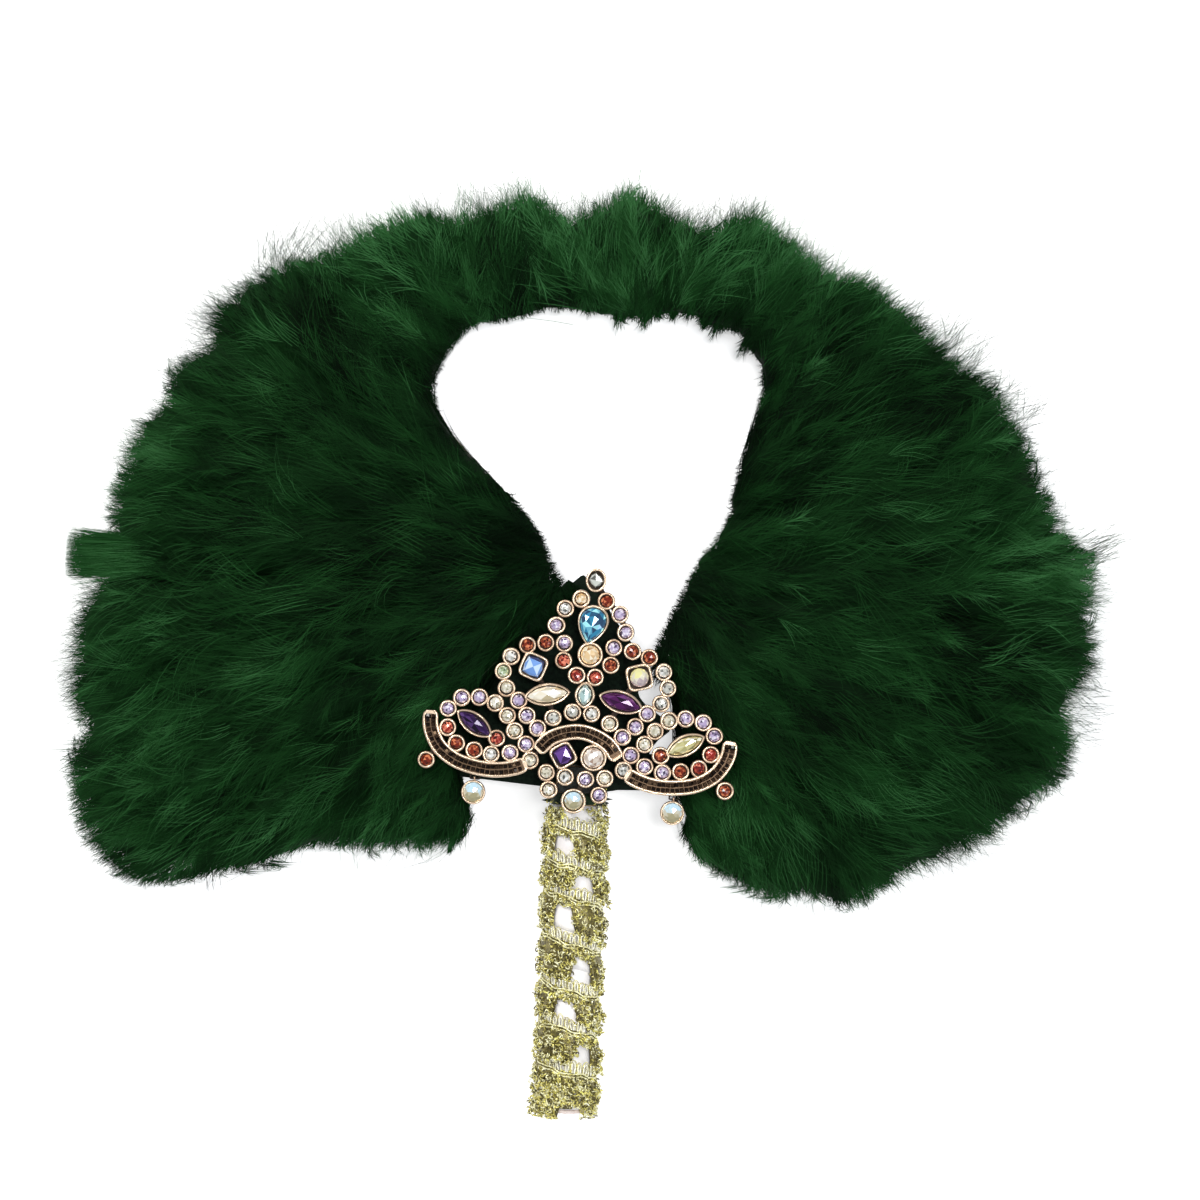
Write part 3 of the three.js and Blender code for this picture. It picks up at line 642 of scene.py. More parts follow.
def held_in(points):
    """Eases points that run past the down's outline back to it, and keeps them off the brooch and floor."""
    x, y, z = points[..., 0], points[..., 1], points[..., 2]
    degrees, radius = polar(x, y)
    first, last = FAN_ENDS
    degrees = np.where(degrees < first, first + (degrees - first) * 0.2, degrees)
    degrees = np.where(degrees > last, last + (degrees - last) * 0.2, degrees)
    inner, outer, _ = edges_at(degrees)
    limit = outer + 0.3
    radius = np.where(radius > limit, limit + (radius - limit) * 0.35, radius)
    low = inner + 0.4
    radius = np.where(radius < low, low - (low - radius) * 0.15, radius)
    x, y = around(radius, np.radians(degrees))
    return np.stack([x, y, above_table(np.minimum(z, nest_limit(x, y) + 1.4))], axis=-1)


def swirl(x, y):
    """How far the down's headings turn from straight out, in smooth patches."""
    return 0.42 * ripple(x, y, 52, 3)


def soft_normal(x, y, side, tilt):
    """The down's rounded surface, seen from far: outwards at its edges, up or down over its middle."""
    angle = np.radians(polar(x, y)[0])
    along = down_surface(x, y)[2]
    outwards = np.interp(along, [-0.05, 0.0, 0.2, 0.7, 0.9, 1.1], [-1, -0.8, -0.2, 0.15, 0.6, 1.3])
    return unit(np.stack([outwards * np.cos(angle), outwards * np.sin(angle), side], axis=-1) + tilt)


def grow_feathers(
    barbs, rng, span, glow, count, inward, side, shares, length, per_feather, barb_length, width, lift
):
    """Small feathers that lie on the plume: each has an axis, and barbs that leave it on both sides.

    span is the plume's first and last degree. inward is the share of feathers that turn back towards
    the hub. side is 1 on the top, -1 on the back and 0 at the edge. The tips lie between two shares of
    the plume's area.
    """
    degrees = rng.uniform(*span, count)
    inner, outer, _ = edges_at(degrees)
    tip = np.sqrt(inner**2 + rng.uniform(*shares, count) * (outer**2 - inner**2))
    inwards = rng.random(count) < inward
    tip = np.where(inwards, inner + rng.uniform(0, 14, count), tip)
    length = rng.uniform(*length, count) * np.where(inwards, 0.7, 1)
    lift = rng.uniform(*lift, count)
    root = np.clip(np.where(inwards, tip + length, tip - length), inner + 1, None)
    length = np.maximum(8, np.abs(tip - root))
    angle = np.radians(degrees)
    root_x, root_y = around(root, angle)
    heading = angle + np.where(inwards, math.pi, 0) + swirl(root_x, root_y) + rng.normal(0, 0.13, count)
    bend = rng.normal(0, 0.28, count)
    tilt = rng.normal(0, 0.3, (count, 3))
    shade = rng.normal(0, 0.15, count) + 0.16 * ripple(root_x, root_y, 60, 5)
    shade = shade + patches_at(root_x, root_y) + glow

    share = (np.arange(per_feather)[None] + rng.uniform(0, 1, (count, per_feather))) / per_feather
    share = 0.03 + 0.97 * share
    course = heading[:, None] + bend[:, None] * share
    middle = heading[:, None] + 0.5 * bend[:, None] * share
    start_x = root_x[:, None] + length[:, None] * share * np.cos(middle)
    start_y = root_y[:, None] + length[:, None] * share * np.sin(middle)
    hand = np.where(rng.random((count, per_feather)) < 0.5, -1, 1)
    spread = hand * (0.08 + 0.55 * (1 - share) ** 0.8) + rng.normal(0, 0.2, share.shape)
    reach = barb_length * (1.0 - 0.25 * share) * rng.uniform(0.6, 1.25, share.shape)
    rise = rng.normal(0.1, 0.2, share.shape)
    curl = rng.normal(0, 0.38, share.shape)
    wave = rng.uniform(0.2, 0.9, share.shape)
    phase = rng.uniform(0, 6.28, share.shape)

    u = ALONG_BARB[None, None]
    way = course[..., None] + spread[..., None] * (1 - 0.28 * u) + 0.5 * curl[..., None] * u
    run = reach[..., None] * u
    sideways = wave[..., None] * np.sin(2 * math.pi * 0.8 * u + phase[..., None]) * u
    x = start_x[..., None] + run * np.cos(way) - sideways * np.sin(way)
    y = start_y[..., None] + run * np.sin(way) + sideways * np.cos(way)
    top, back, along = down_surface(x, y)
    rise = rise[..., None]
    above = lift[:, None, None] * (0.3 + 0.7 * share[..., None]) + run * rise * (1 - 0.5 * u)
    own_height = rng.uniform(-0.8, 0.8, count)[:, None, None]
    if side > 0:
        z = top - 1.2 + above
    elif side < 0:
        z = -back + 0.6 - 0.55 * above
    else:
        z = own_height * np.where(own_height > 0, top, back) + run * (rise - 0.1)
    points = held_in(np.stack([x, y, z], axis=-1)).reshape(-1, STEPS + 1, 3)

    x, y, z = points[:, 2].T
    upwards = np.full(len(z), float(side)) if side else 0.4 * np.sign(z)
    soft = soft_normal(x, y, upwards, np.repeat(tilt, per_feather, axis=0))
    facing = unit(soft + rng.normal(0, 0.45, soft.shape))
    where = along.reshape(-1, STEPS + 1)
    # Painted shade and light: the tone is lowest near the hub, deep in the down, and rises towards the thin
    # outline and along each feather and barb.
    by_place = np.interp(where, [0.0, 0.15, 0.45, 0.75, 0.92, 1.02], [0.06, 0.13, 0.21, 0.29, 0.44, 0.6])
    by_length = 0.2 * share.reshape(-1, 1) + 0.2 * ALONG_BARB[None]
    tone = by_place + by_length + np.repeat(shade, per_feather)[:, None]
    tone = tone + rng.normal(0, 0.035, (len(points), 1))
    barbs.add(points, width * rng.uniform(0.7, 1.25, len(points)), facing, soft, tone)


def grow_hairs(barbs, rng, x, y, way, length, curl, height, rise, width, tone, facing=None):
    """Single barbs, each with its own root, heading and curl, and its height over the plume's middle."""
    u = ALONG_BARB[None]
    course = way[:, None] + curl[:, None] * u
    run = length[:, None] * u
    px = np.clip(x[:, None] + run * np.cos(course), *HAIR_REACH)
    py = np.minimum(y[:, None] + run * np.sin(course), HAIR_TOP)
    pz = np.minimum(height[:, None] + rise[:, None] * u, nest_limit(px, py) + 1.4)
    points = np.stack([px, py, above_table(pz)], axis=-1)
    if facing is None:
        facing = unit(np.tile([0.0, 0, 1], (len(x), 1)) + rng.normal(0, 0.3, (len(x), 3)))
    # Each hair is painted a little lighter towards its tip.
    barbs.add(points, width, facing, facing, tone[:, None] + 0.12 * (u - 0.5))


def grow_rim(barbs, rng, low, high, per_mm, outwards, depth, past, tuft, point, tone, width):
    """Fine barbs that close the down's outline.

    Their roots lie depth inside it. They gather into tufts of so many degrees, which stand up to
    point past it.
    """
    grid = np.linspace(low, high, 9)
    edge = edges_at(grid)[1 if outwards else 0]
    count = int(per_mm * edge.mean() * math.radians(high - low)) + 20
    degrees = rng.uniform(low - 0.4, high + 0.4, count)
    inner, outer, _ = edges_at(degrees)
    index = np.floor(degrees / tuft)
    middle = (index + 0.5 + 0.3 * np.sin(index * 12.99)) * tuft
    height = 0.5 + 0.5 * np.sin(index * 78.23)
    near = 1 - np.clip(np.abs(degrees - middle) / (0.6 * tuft), 0, 1)
    stand = past[0] + (past[1] - past[0]) * rng.random(count) ** 1.7
    stand += point * height * near * rng.uniform(0.3, 1, count)
    deep = rng.uniform(*depth, count)
    root = outer - deep if outwards else inner + deep
    tip = outer + stand if outwards else inner - stand
    tip_degrees = degrees + (middle - degrees) * 0.45 * near + rng.normal(0, 70 / root, count)
    a, b = np.radians(degrees), np.radians(tip_degrees)
    x, y = around(root, a)
    to_x, to_y = around(tip, b)
    own = rng.uniform(-0.9, 0.95, count)
    top, back, _ = down_surface(x, y)
    tip_top, tip_back, _ = down_surface(to_x, to_y)
    from_z = own * np.where(own > 0, top + 1.5, back)
    to_z = 0.75 * own * np.where(own > 0, tip_top + 1.5, tip_back + 1)
    length = np.hypot(to_x - x, to_y - y)
    curl = rng.normal(0, 0.3, count)
    way = np.arctan2(to_y - y, to_x - x) - 0.5 * curl
    side = np.where(own > -0.2, 1.0, -1.0)
    facing = soft_normal(x, y, side, rng.normal(0, 0.35, (count, 3)))
    shade = tone + rng.normal(0, 0.07, count) + 0.13 * ripple(x, y, 60, 5) + patches_at(x, y)
    width = rng.uniform(*width, count)
    grow_hairs(barbs, rng, x, y, way, length, curl, from_z, to_z - from_z, width, shade, facing)


def grow_wisps(barbs, rng, low, high, groups):
    """Hair-thin barbs that stray past the dense outline in groups, longest where they are thickest."""
    each = 8
    base = rng.uniform(low, high, groups)
    lush = ripple(*around(edges_at(base)[1], np.radians(base)), 34, 21)
    kept = rng.random(groups) < 0.45 + 0.5 * lush
    base, lush = np.repeat(base[kept], each), np.repeat(lush[kept], each)
    count = len(base)
    lean = np.repeat(rng.normal(0, 0.28, count // each), each)
    degrees = base + rng.normal(0, 0.9, count)
    angle = np.radians(degrees)
    _, outer, last = edges_at(degrees)
    start = outer - rng.uniform(2, 9, count)
    past = rng.uniform(0.4, 1.2, count) * (last - outer)
    past = past + (6 + 7 * np.maximum(lush, 0)) * rng.random(count) ** 2
    length = np.minimum(outer - start + past, 214 - start)
    x, y = around(start, angle)
    way = angle + lean + rng.normal(0, 0.2, count)
    curl = np.repeat(rng.normal(0, 0.35, count // each), each) + rng.normal(0, 0.12, count)
    tone = np.repeat(rng.uniform(0.3, 0.8, count // each), each)
    width = rng.uniform(0.05, 0.1, count)
    height, rise = rng.uniform(-5, 8, count), rng.normal(0, 3, count)
    grow_hairs(barbs, rng, x, y, way, length, curl, height, rise, width, tone)


def grow_overhang(barbs, rng):
    """Down from the left wing's last plumes that lies over the neck, beside the brooch."""
    count = 1300
    radius = rng.uniform(11, 50, count)
    angle = np.radians(229 - rng.uniform(0, 60, count) / radius)
    x, y = around(radius, angle)
    way = math.radians(305) + rng.normal(0, 0.3, count)
    length = rng.uniform(4, 11, count) * np.interp(radius, [10, 25, 50], [1, 1.1, 0.5])
    width = rng.uniform(0.16, 0.3, count)
    height, rise = rng.uniform(6, 11, count), rng.normal(0, 1, count)
    tone = 0.1 + rng.normal(0, 0.05, count)
    grow_hairs(barbs, rng, x, y, way, length, rng.normal(0, 0.3, count), height, rise, width, tone)


def grow_laid_hairs(barbs, rng, low, high, groups, glow):
    """Long paler hairs that lie on top of the down, side by side or fanned out in small groups."""
    each = 7
    degrees = rng.uniform(low, high, groups)
    angle = np.radians(degrees)
    inner, outer, _ = edges_at(degrees)
    start = np.sqrt(inner**2 + rng.uniform(0.02, 0.85, groups) * (outer**2 - inner**2))
    x0, y0 = around(start, angle)
    way = angle + swirl(x0, y0) + rng.normal(0, 0.22, groups)
    fanned = rng.random(groups) < 0.4
    spacing = np.where(fanned, 0.3, rng.uniform(0.6, 1.6, groups))
    fan = np.where(fanned, rng.uniform(0.07, 0.15, groups), rng.normal(0, 0.05, groups))
    place = np.tile(np.arange(each) - 3.0, groups)
    x0, y0, way, spacing, fan = (np.repeat(v, each) for v in (x0, y0, way, spacing, fan))
    along = rng.normal(0, 1.6, len(place))
    x = x0 + along * np.cos(way) - place * spacing * np.sin(way)
    y = y0 + along * np.sin(way) + place * spacing * np.cos(way)
    top, _, share = down_surface(x, y)
    length = np.repeat(rng.uniform(11, 32, groups), each) * rng.uniform(0.55, 1.1, len(x))
    curl = np.repeat(rng.normal(0, 0.3, groups), each) + rng.normal(0, 0.07, len(x))
    # Paler towards the outline: partly the hairs' own colour and partly painted light.
    shade = np.interp(share, [0, 0.5, 1], [0.44, 0.66, 0.88])
    shade = shade + np.repeat(rng.normal(0.06, 0.14, groups), each)
    facing = soft_normal(x, y, np.ones(len(x)), rng.normal(0, 0.2, (len(x), 3)))
    over = top + rng.uniform(3, 6.5, len(x))
    end_top, _, _ = down_surface(x + length * np.cos(way), y + length * np.sin(way))
    drop = np.minimum(end_top - top, 0) * 0.8 + rng.normal(0, 0.8, len(x))
    width = rng.uniform(0.09, 0.17, len(x))
    shade = shade + patches_at(x, y) + glow
    grow_hairs(barbs, rng, x, y, way + fan * place, length, curl, over, drop, width, shade, facing)


# Loose tufts: root, heading and its spread in degrees, width of the tuft, shortest and longest, how many,
# tone, width of a barb, how high the roots lie, and for a tuft that is cut off square, where it ends.
TUFTS = [
    (-29, 336, 92, 34, 3, 14, 27, 130, 0.78, 0.14, 5), (-29, 330, 92, 60, 4, 10, 20, 150, 0.66, 0.2, 6),
    (9, 335, 82, 15, 3, 10, 19, 260, 0.5, 0.26, 5), (-2, 328, 130, 14, 4, 10, 22, 60, 0.7, 0.16, 8),
    (55, 339, 92, 16, 4, 10, 22, 70, 0.6, 0.12, 6), (52, 333, 80, 30, 4, 8, 14, 140, 0.55, 0.2, 7),
    (-123, 317, 80, 24, 5, 14, 29, 70, 0.45, 0.1, 4), (-116, 324, 62, 10, 4, 12, 26, 30, 0.5, 0.1, 4),
    (-163, 204.6, 180, 3, 4.5, 40, 41, 1250, 0.74, 0.24, 8.5, -198.6),
    (-166, 204.2, 185, 6, 4.2, 20, 34, 110, 1, 0.12, 10.5, -198),
    (-160, 206, 182, 9, 6, 12, 28, 160, 0.55, 0.16, 10), (33.5, 171, 241, 14, 4, 4, 9, 420, 0.1, 0.24, 7),
    (31, 177, 256, 14, 2.6, 4, 9, 200, 0.1, 0.24, 7), (-143, 96, 222, 25, 6, 8, 14, 240, 0.3, 0.26, 0),
    (-178, 130, 205, 25, 5, 6, 12, 160, 0.35, 0.26, 0), (-164, 98, 230, 25, 5, 6, 11, 260, 0.3, 0.26, 0),
    (-180, 116, 212, 25, 5, 5, 10, 200, 0.35, 0.26, 0), (-132, 95, 250, 25, 5, 4, 8, 160, 0.3, 0.26, 0),
    (46.5, 113, 263, 8, 3.2, 5, 11, 360, 0.22, 0.26, 3),
    (51, 104.5, 235, 14, 3.2, 4, 7, 280, 0.24, 0.26, 3), (60, 98, 240, 14, 3.5, 4, 7.5, 280, 0.26, 0.26, 3),
    (-60.4, 252.7, 43, 18, 5, 4, 6.5, 320, 0.26, 0.28, 6),
    (-51, 242.4, 43, 18, 5, 4, 6.5, 320, 0.28, 0.28, 6),
    (-40.5, 233.1, 43, 18, 5, 4, 6.5, 320, 0.26, 0.28, 6),
    (-30.9, 222.9, 43, 18, 5, 4, 6.5, 320, 0.2, 0.28, 6),
    (-184, 128, 206, 13, 4, 10, 18, 150, 0.8, 0.18, 2), (-183, 186, 178, 18, 4, 9, 19, 60, 0.5, 0.12, 3),
    (-186, 150, 190, 20, 5, 8, 15, 60, 0.55, 0.12, 3), (191, 222, 28, 12, 4, 12, 25, 90, 0.45, 0.11, 3),
    (186, 207, 8, 18, 5, 8, 18, 90, 0.55, 0.11, 3), (137, 294, 50, 16, 6, 12, 28, 90, 0.45, 0.11, 4),
    (160, 275, 42, 18, 6, 10, 20, 80, 0.5, 0.11, 4), (190, 160, -10, 16, 8, 8, 17, 90, 0.45, 0.11, 3),
    (-8, 308, 172, 7, 6, 18, 31, 9, 0.95, 0.17, 21), (-10, 314, 158, 8, 5, 12, 22, 6, 0.9, 0.16, 21),
    (40, 318, 30, 22, 6, 10, 20, 12, 0.85, 0.15, 20),
    (-26.2, 194.4, 272, 0.3, 0, 14, 15, 1, 0.75, 0.34, 14),
]


def grow_tuft(
    barbs, rng, x, y, heading, spread, wide, shortest, longest, count, tone, width, height, cut_at=None
):
    across = rng.uniform(-1.6, 1.6, count) * wide
    along = rng.uniform(-0.7, 0.7, count) * wide
    middle = math.radians(heading)
    way = middle + np.radians(rng.normal(0, spread, count))
    length = rng.uniform(shortest, longest, count)
    x0 = x + along * math.cos(middle) - across * math.sin(middle)
    y0 = y + along * math.sin(middle) + across * math.cos(middle)
    curl = rng.normal(0, 0.25, count)
    if cut_at is not None:
        length = np.minimum(length, (cut_at - x0) / np.cos(way))
        curl *= 0.15
    z = height + rng.normal(0, 1.2, count)
    shade = tone + rng.normal(0, 0.06, count)
    rise, width = rng.normal(0, 1.5, count), width * rng.uniform(0.7, 1.2, count)
    grow_hairs(barbs, rng, x0, y0, way, length, curl, z, rise, width, shade)


def plume_core(name):
    """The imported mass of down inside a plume: the CAD plume drawn in, roughened, and rounded."""
    bm = node_copy(name)
    bmesh.ops.subdivide_edges(bm, edges=bm.edges, cuts=3, use_grid_fill=True)
    bmesh.ops.triangulate(bm, faces=bm.faces)
    every_way = {"use_axis_x": True, "use_axis_y": True, "use_axis_z": True}
    for _ in range(4):
        bmesh.ops.smooth_vert(bm, verts=bm.verts, factor=0.5, **every_way)
    co = np.array([v.co for v in bm.verts])
    degrees, radius = polar(co[:, 0], co[:, 1])
    inner, outer, _ = edges_at(degrees)
    along = np.clip((radius - inner) / (outer - inner), 0, 1)
    middle = degrees.mean()
    drawn = inner + 2 + along * (outer - inner - 6)
    drawn += 1.1 * ripple(co[:, 0], co[:, 1], 12, 11) + 0.9 * ripple(co[:, 0], co[:, 1], 4, 13)
    spread = degrees
    for widening in (1.12, 1.24, 1.35):
        tried = np.clip(middle + (degrees - middle) * widening, -67, 245.5)
        low, high, _ = edges_at(tried)
        spread = np.where((drawn > low + 1.5) & (drawn < high - 4), tried, spread)
    co[:, 0], co[:, 1] = around(drawn, np.radians(spread))
    co[:, 2] *= CORE_SHARE * (1 + 0.05 * ripple(co[:, 0], co[:, 1], 11, 12))
    for vert, place in zip(bm.verts, co):
        vert.co = place
    bm.normal_update()
    points = np.array([v.co for v in bm.verts])
    normals = np.array([v.normal for v in bm.verts])
    loops = np.array([v.index for f in bm.faces for v in f.verts])
    bm.free()
    # The core is painted darkest at its inner end and lighter outwards: painted shade inside the down.
    tone = np.interp(along, [0, 0.45, 0.8, 1], [0.04, 0.14, 0.26, 0.36])
    tone = tone + patches_at(points[:, 0], points[:, 1])
    return points, loops, np.full(len(loops) // 3, 3), normals, tone


# The feathers on a plume: how many to the square millimetre, whether some in the arch turn inwards, side,
# shares of the area that their tips lie between, length, barbs to each, a barb's length and width, and lift.
LAYERS = [
    (0.0115, True, 1, (0.03, 1.0), (24, 46), 80, 15, 0.2, (0.8, 5.2)),
    (0.0055, True, 1, (0.05, 0.97), (14, 28), 64, 11, 0.16, (3.0, 7.0)),
    (0.0034, False, 1, (0.86, 1.03), (22, 40), 74, 12, 0.19, (0.8, 5.2)),
    (0.003, False, 0, (0.86, 1.03), (22, 36), 74, 12, 0.21, (0.8, 5.2)),
    (0.0042, True, -1, (0.03, 1.0), (26, 50), 64, 16, 0.36, (0.8, 5.2)),
]


def fluff_plume(index, name, material):
    """One plume: a dark core under layers of small feathers, with wisps past its tip."""
    rng = np.random.default_rng(100 + index)
    low, high = RAY_DEGREES[index : index + 2]
    inner, outer, _ = edges_at(np.linspace(low, high, 9))
    area = float(np.mean(outer**2 - inner**2)) * 0.5 * math.radians(high - low)
    in_arch = RIGHT_PLUMES <= index < RIGHT_PLUMES + ARCH_PLUMES
    at_bottom = index < 2 or index > 23
    inward, fullness, glow = (0.35, 1.35, 0.2) if in_arch else (0.0, 1.0, -0.1)
    barbs = Barbs()
    for density, turns_back, *layer in LAYERS:
        count = max(4, int(area * density * fullness))
        grow_feathers(barbs, rng, (low, high), glow, count, inward if turns_back else 0.0, *layer)
    jagged = 9 if 50 < low < 90 else 3 if in_arch else 0.5
    reach, point = ((-3, 2.5), 1.5) if at_bottom else ((-4, 6), 3.5)
    hole_tone = 0.1 + 1.3 * max(glow, 0)
    # The outline's barbs are painted lighter than the down within: painted light where the down thins.
    grow_rim(barbs, rng, low, high, 20, True, (3, 15), (-4, 1), 3.1, 2.2, 0.46 + glow, (0.16, 0.32))
    grow_rim(barbs, rng, low, high, 19, True, (2, 10), reach, 1.9, point, 0.66 + glow, (0.08, 0.2))
    grow_rim(barbs, rng, low, high, 26, False, (2, 11), (-2, 0.8), 3.4, jagged, hole_tone, (0.16, 0.34))
    grow_wisps(barbs, rng, low, high, 6 if at_bottom else 52)
    if index == len(RAY_DEGREES) - 3:
        grow_overhang(barbs, rng)
    grow_laid_hairs(barbs, rng, low, high, int(area * 0.017), glow)
    for tuft in TUFTS:
        if low <= polar(tuft[0], tuft[1])[0] < high:
            grow_tuft(barbs, rng, *tuft)

    core, strips = plume_core(name), barbs.arrays()
    points, loops, totals, normals, tone = (np.concatenate(pair) for pair in zip(core, strips))
    loops[len(core[1]) :] += len(core[0])
    mesh = bpy.data.meshes.new(name + "_down")
    mesh.vertices.add(len(points))
    mesh.vertices.foreach_set("co", (points * MM).astype(np.float32).ravel())
    mesh.loops.add(len(loops))
    mesh.loops.foreach_set("vertex_index", loops.astype(np.int32))
    mesh.polygons.add(len(totals))
    starts = np.concatenate([[0], np.cumsum(totals)[:-1]])
    mesh.polygons.foreach_set("loop_start", starts.astype(np.int32))
    mesh.update(calc_edges=True)
    mesh.polygons.foreach_set("use_smooth", np.ones(len(totals), bool))
    mesh.attributes.new("tone", "FLOAT", "POINT").data.foreach_set("value", tone.astype(np.float32))
    mesh.normals_split_custom_set_from_vertices(normals.astype(np.float32))
    down = settle(mesh, name + "_down", [material], FAN_BODY)
    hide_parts(name)


def plume_name(index):
    if index < RIGHT_PLUMES:
        return f"plume_right_{index + 1}"
    if index < RIGHT_PLUMES + ARCH_PLUMES:
        return f"plume_arch_{index + 1 - RIGHT_PLUMES}"
    return f"plume_left_{index + 1 - RIGHT_PLUMES - ARCH_PLUMES}"


def fluff_plumes():
    down = down_finish()
    for index in range(len(RAY_DEGREES) - 1):
        fluff_plume(index, plume_name(index), down)


# Handle

RIBBON = {"low": 1.9, "high": 117.25, "inner": 9.15, "width": 18.5, "turns": 9.2, "beyond": 14}
GIMP = {"inner": 10.0, "first": 107.0, "end": 4.7, "lead": 0.33, "wound": 7.04}
GIMP_ROUND = 70.8  # the gimp's length in one turn
# Where it crosses the front, a turn apart, in shares of the way from the first crossing to its end.
CROSSING_SHARES = np.array([-0.148, 0, 0.131, 0.249, 0.418, 0.592, 0.735, 0.894, 0.996, 1.098])
# Degrees round from the front where the satin shows below each crossing, and how far below it.
WINDOWS = np.array([-26, 22, -21, 26, -7, 38, 180, 180])
WINDOW_TOPS = np.array([3.3, 3.3, 3.8, 4.6, 4.3, 5.2, 6, 6])
# Bunches of loose curls at the gimp's two ends: degrees round, height, their spreads, and how many.
BUNCHES = [
    (-60, 112.5, 18, 2.6, 110), (-38, 114, 8, 1.6, 30), (66, 110, 13, 4.2, 150), (36, 114.5, 8, 1.2, 25),
    (40, 5.5, 16, 3.0, 150), (62, 4, 18, 3.2, 170), (-40, 4, 24, 3.2, 220), (0, 8, 18, 2.2, 90),
    (115, 6, 25, 3.5, 120),
]


def dress_dowel():
    steel = steel_finish()
    finishes = {
        "handle_dowel": birch_finish(),
        "tang_pin_lower": steel,
        "tang_pin_upper": steel,
        "core_board": board_finish(),
    }
    for name, material in finishes.items():
        nodes[name].data.materials.clear()
        nodes[name].data.materials.append(material)


def cap_butt():
    """A satin disc turned over the end of the dowel, with a puckered edge."""
    profile = [
        (0, 0.12), (5, 0.05), (7.6, 0), (8.5, 0.15), (8.95, 0.5), (9.05, 1.0), (8.95, 1.5), (8.4, 1.62),
        (0, 1.62),
    ]
    bm = turned(profile, 48)
    for vert in bm.verts:
        angle = math.atan2(vert.co.y, vert.co.x)
        if math.hypot(vert.co.x, vert.co.y) > 8.2:
            vert.co.z += 0.07 * math.sin(angle * 17) + 0.05 * math.sin(angle * 29 + 1)
    turn_to_handle(bm)
    cap = piece_from(bm, "butt_satin", [satin_disc_finish()])
    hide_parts("butt_cap")


def wrap_ribbon():
    """White satin ribbon wound up the dowel, each turn lapped over the last, cut off at both ends."""
    bm = bmesh.new()
    bmesh.ops.create_grid(bm, x_segments=300, y_segments=8, size=0.5, calc_uvs=True)
    low, high, width, beyond = (RIBBON[key] for key in ("low", "high", "width", "beyond"))
    for vert in bm.verts:
        along, across = vert.co.x + 0.5, vert.co.y + 0.5
        angle = -along * RIBBON["turns"] * 2 * math.pi
        y = low - beyond + (high - low - width + 2 * beyond) * along + across * width
        pucker = 0.035 * math.sin(along * 190 + across * 5) + 0.03 * math.sin(along * 83 - across * 9)
        radius = RIBBON["inner"] + 0.07 + 0.28 * (1 - across) + pucker * math.sin(math.pi * across)
        vert.co = (radius * math.sin(angle), y, radius * math.cos(angle))
    for height, way in ((low, -1), (high, 1)):
        geometry = bm.verts[:] + bm.edges[:] + bm.faces[:]
        cut = {"plane_co": (0, height, 0), "plane_no": (0, way, 0), "clear_outer": True}
        bmesh.ops.bisect_plane(bm, geom=geometry, **cut)
    bmesh.ops.remove_doubles(bm, verts=bm.verts, dist=1e-3)
    bmesh.ops.recalc_face_normals(bm, faces=bm.faces)
    satin = satin_finish("white_satin", (0.88, 0.85, 0.84), (0.8, 0.76, 0.76))
    ribbon = piece_from(bm, "ribbon", [satin])
    wall = ribbon.modifiers.new("cloth thickness", "SOLIDIFY")
    wall.thickness = 0.18 * MM
    wall.offset = 1
    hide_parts("ribbon_wrap")


def gimp_height(turn):
    """How high up the handle the gimp's middle is, on a smooth curve through its crossings."""
    heights = GIMP["first"] + CROSSING_SHARES * (GIMP["end"] - GIMP["first"])
    place = np.clip(np.asarray(turn, float) + 1, 0, len(heights) - 1.001)
    low = place.astype(int)
    t = place - low
    p0, p1, p2, p3 = (heights[np.clip(low + step, 0, len(heights) - 1)] for step in (-1, 0, 1, 2))
    bend = 2 * p0 - 5 * p1 + 4 * p2 - p3 + t * (3 * p1 - p0 - 3 * p2 + p3)
    return p1 + 0.5 * t * (p2 - p0 + t * bend)


def on_gimp(turn, across, out):
    """A point on the wound gimp: turns down the handle, millimetres up across it and out from its back."""
    angle = turn * 2 * math.pi
    radius = GIMP["inner"] + out
    return np.stack([radius * np.sin(angle), gimp_height(turn) + across, radius * np.cos(angle)], axis=-1)


def fringe_depth(turn):
    """How far the fringe hangs: over the whole pitch at the handle's sides, and hardly at a window."""
    turn = np.asarray(turn, float)
    degrees = (turn * 360 + 180) % 360 - 180
    crossing = np.clip(np.round(turn), 0, len(WINDOWS) - 1).astype(int)
    from_window = np.abs(degrees - WINDOWS[crossing])
    shut = np.clip((from_window - 15) / 15, 0, 1)
    shut = shut * shut * (3 - 2 * shut)
    pitch = gimp_height(turn) - gimp_height(turn + 1)
    full = np.clip(pitch - 3.6 + 2 * np.sin(np.radians(degrees)) ** 2 + 0.8 * np.sin(61 * turn), 4.6, 15)
    top = WINDOW_TOPS[crossing] - 1
    return top + (full - top) * shut


def gimp_swell(turn):
    """How proud the fringe stands: the most at the handle's sides."""
    return 1 + 1.5 * np.sin(2 * math.pi * turn) ** 2 + 0.5 * np.sin(2 * math.pi * turn * 7.3)


def curls(rng, turn, across, out, size, points=6):
    """Little open loops of thread at random slants, one for each place."""
    count = len(turn)
    first = unit(rng.normal(0, 1, (count, 3)))
    second = unit(np.cross(first, rng.normal(0, 1, (count, 3))))
    share = np.linspace(0, 1, points)[None]
    arc = rng.uniform(3.0, 5.2, count)[:, None] * share + rng.uniform(0, 6.3, (count, 1))
    swell = size[:, None] * (0.75 + 0.35 * share)
    local = (swell * np.cos(arc))[..., None] * first[:, None]
    local += (swell * np.sin(arc))[..., None] * second[:, None]
    local += (share - 0.5)[..., None] * np.cross(first, second)[:, None] * size[:, None, None]
    away = np.maximum(0.15, out[:, None] + local[..., 2])
    lines = on_gimp(turn[:, None] + local[..., 0] / GIMP_ROUND, across[:, None] + local[..., 1], away)
    lines[..., 1] = np.maximum(lines[..., 1], -1.6)
    lines[..., 2] = np.maximum(lines[..., 2], FLOOR_Z + 0.8)
    return list(lines)


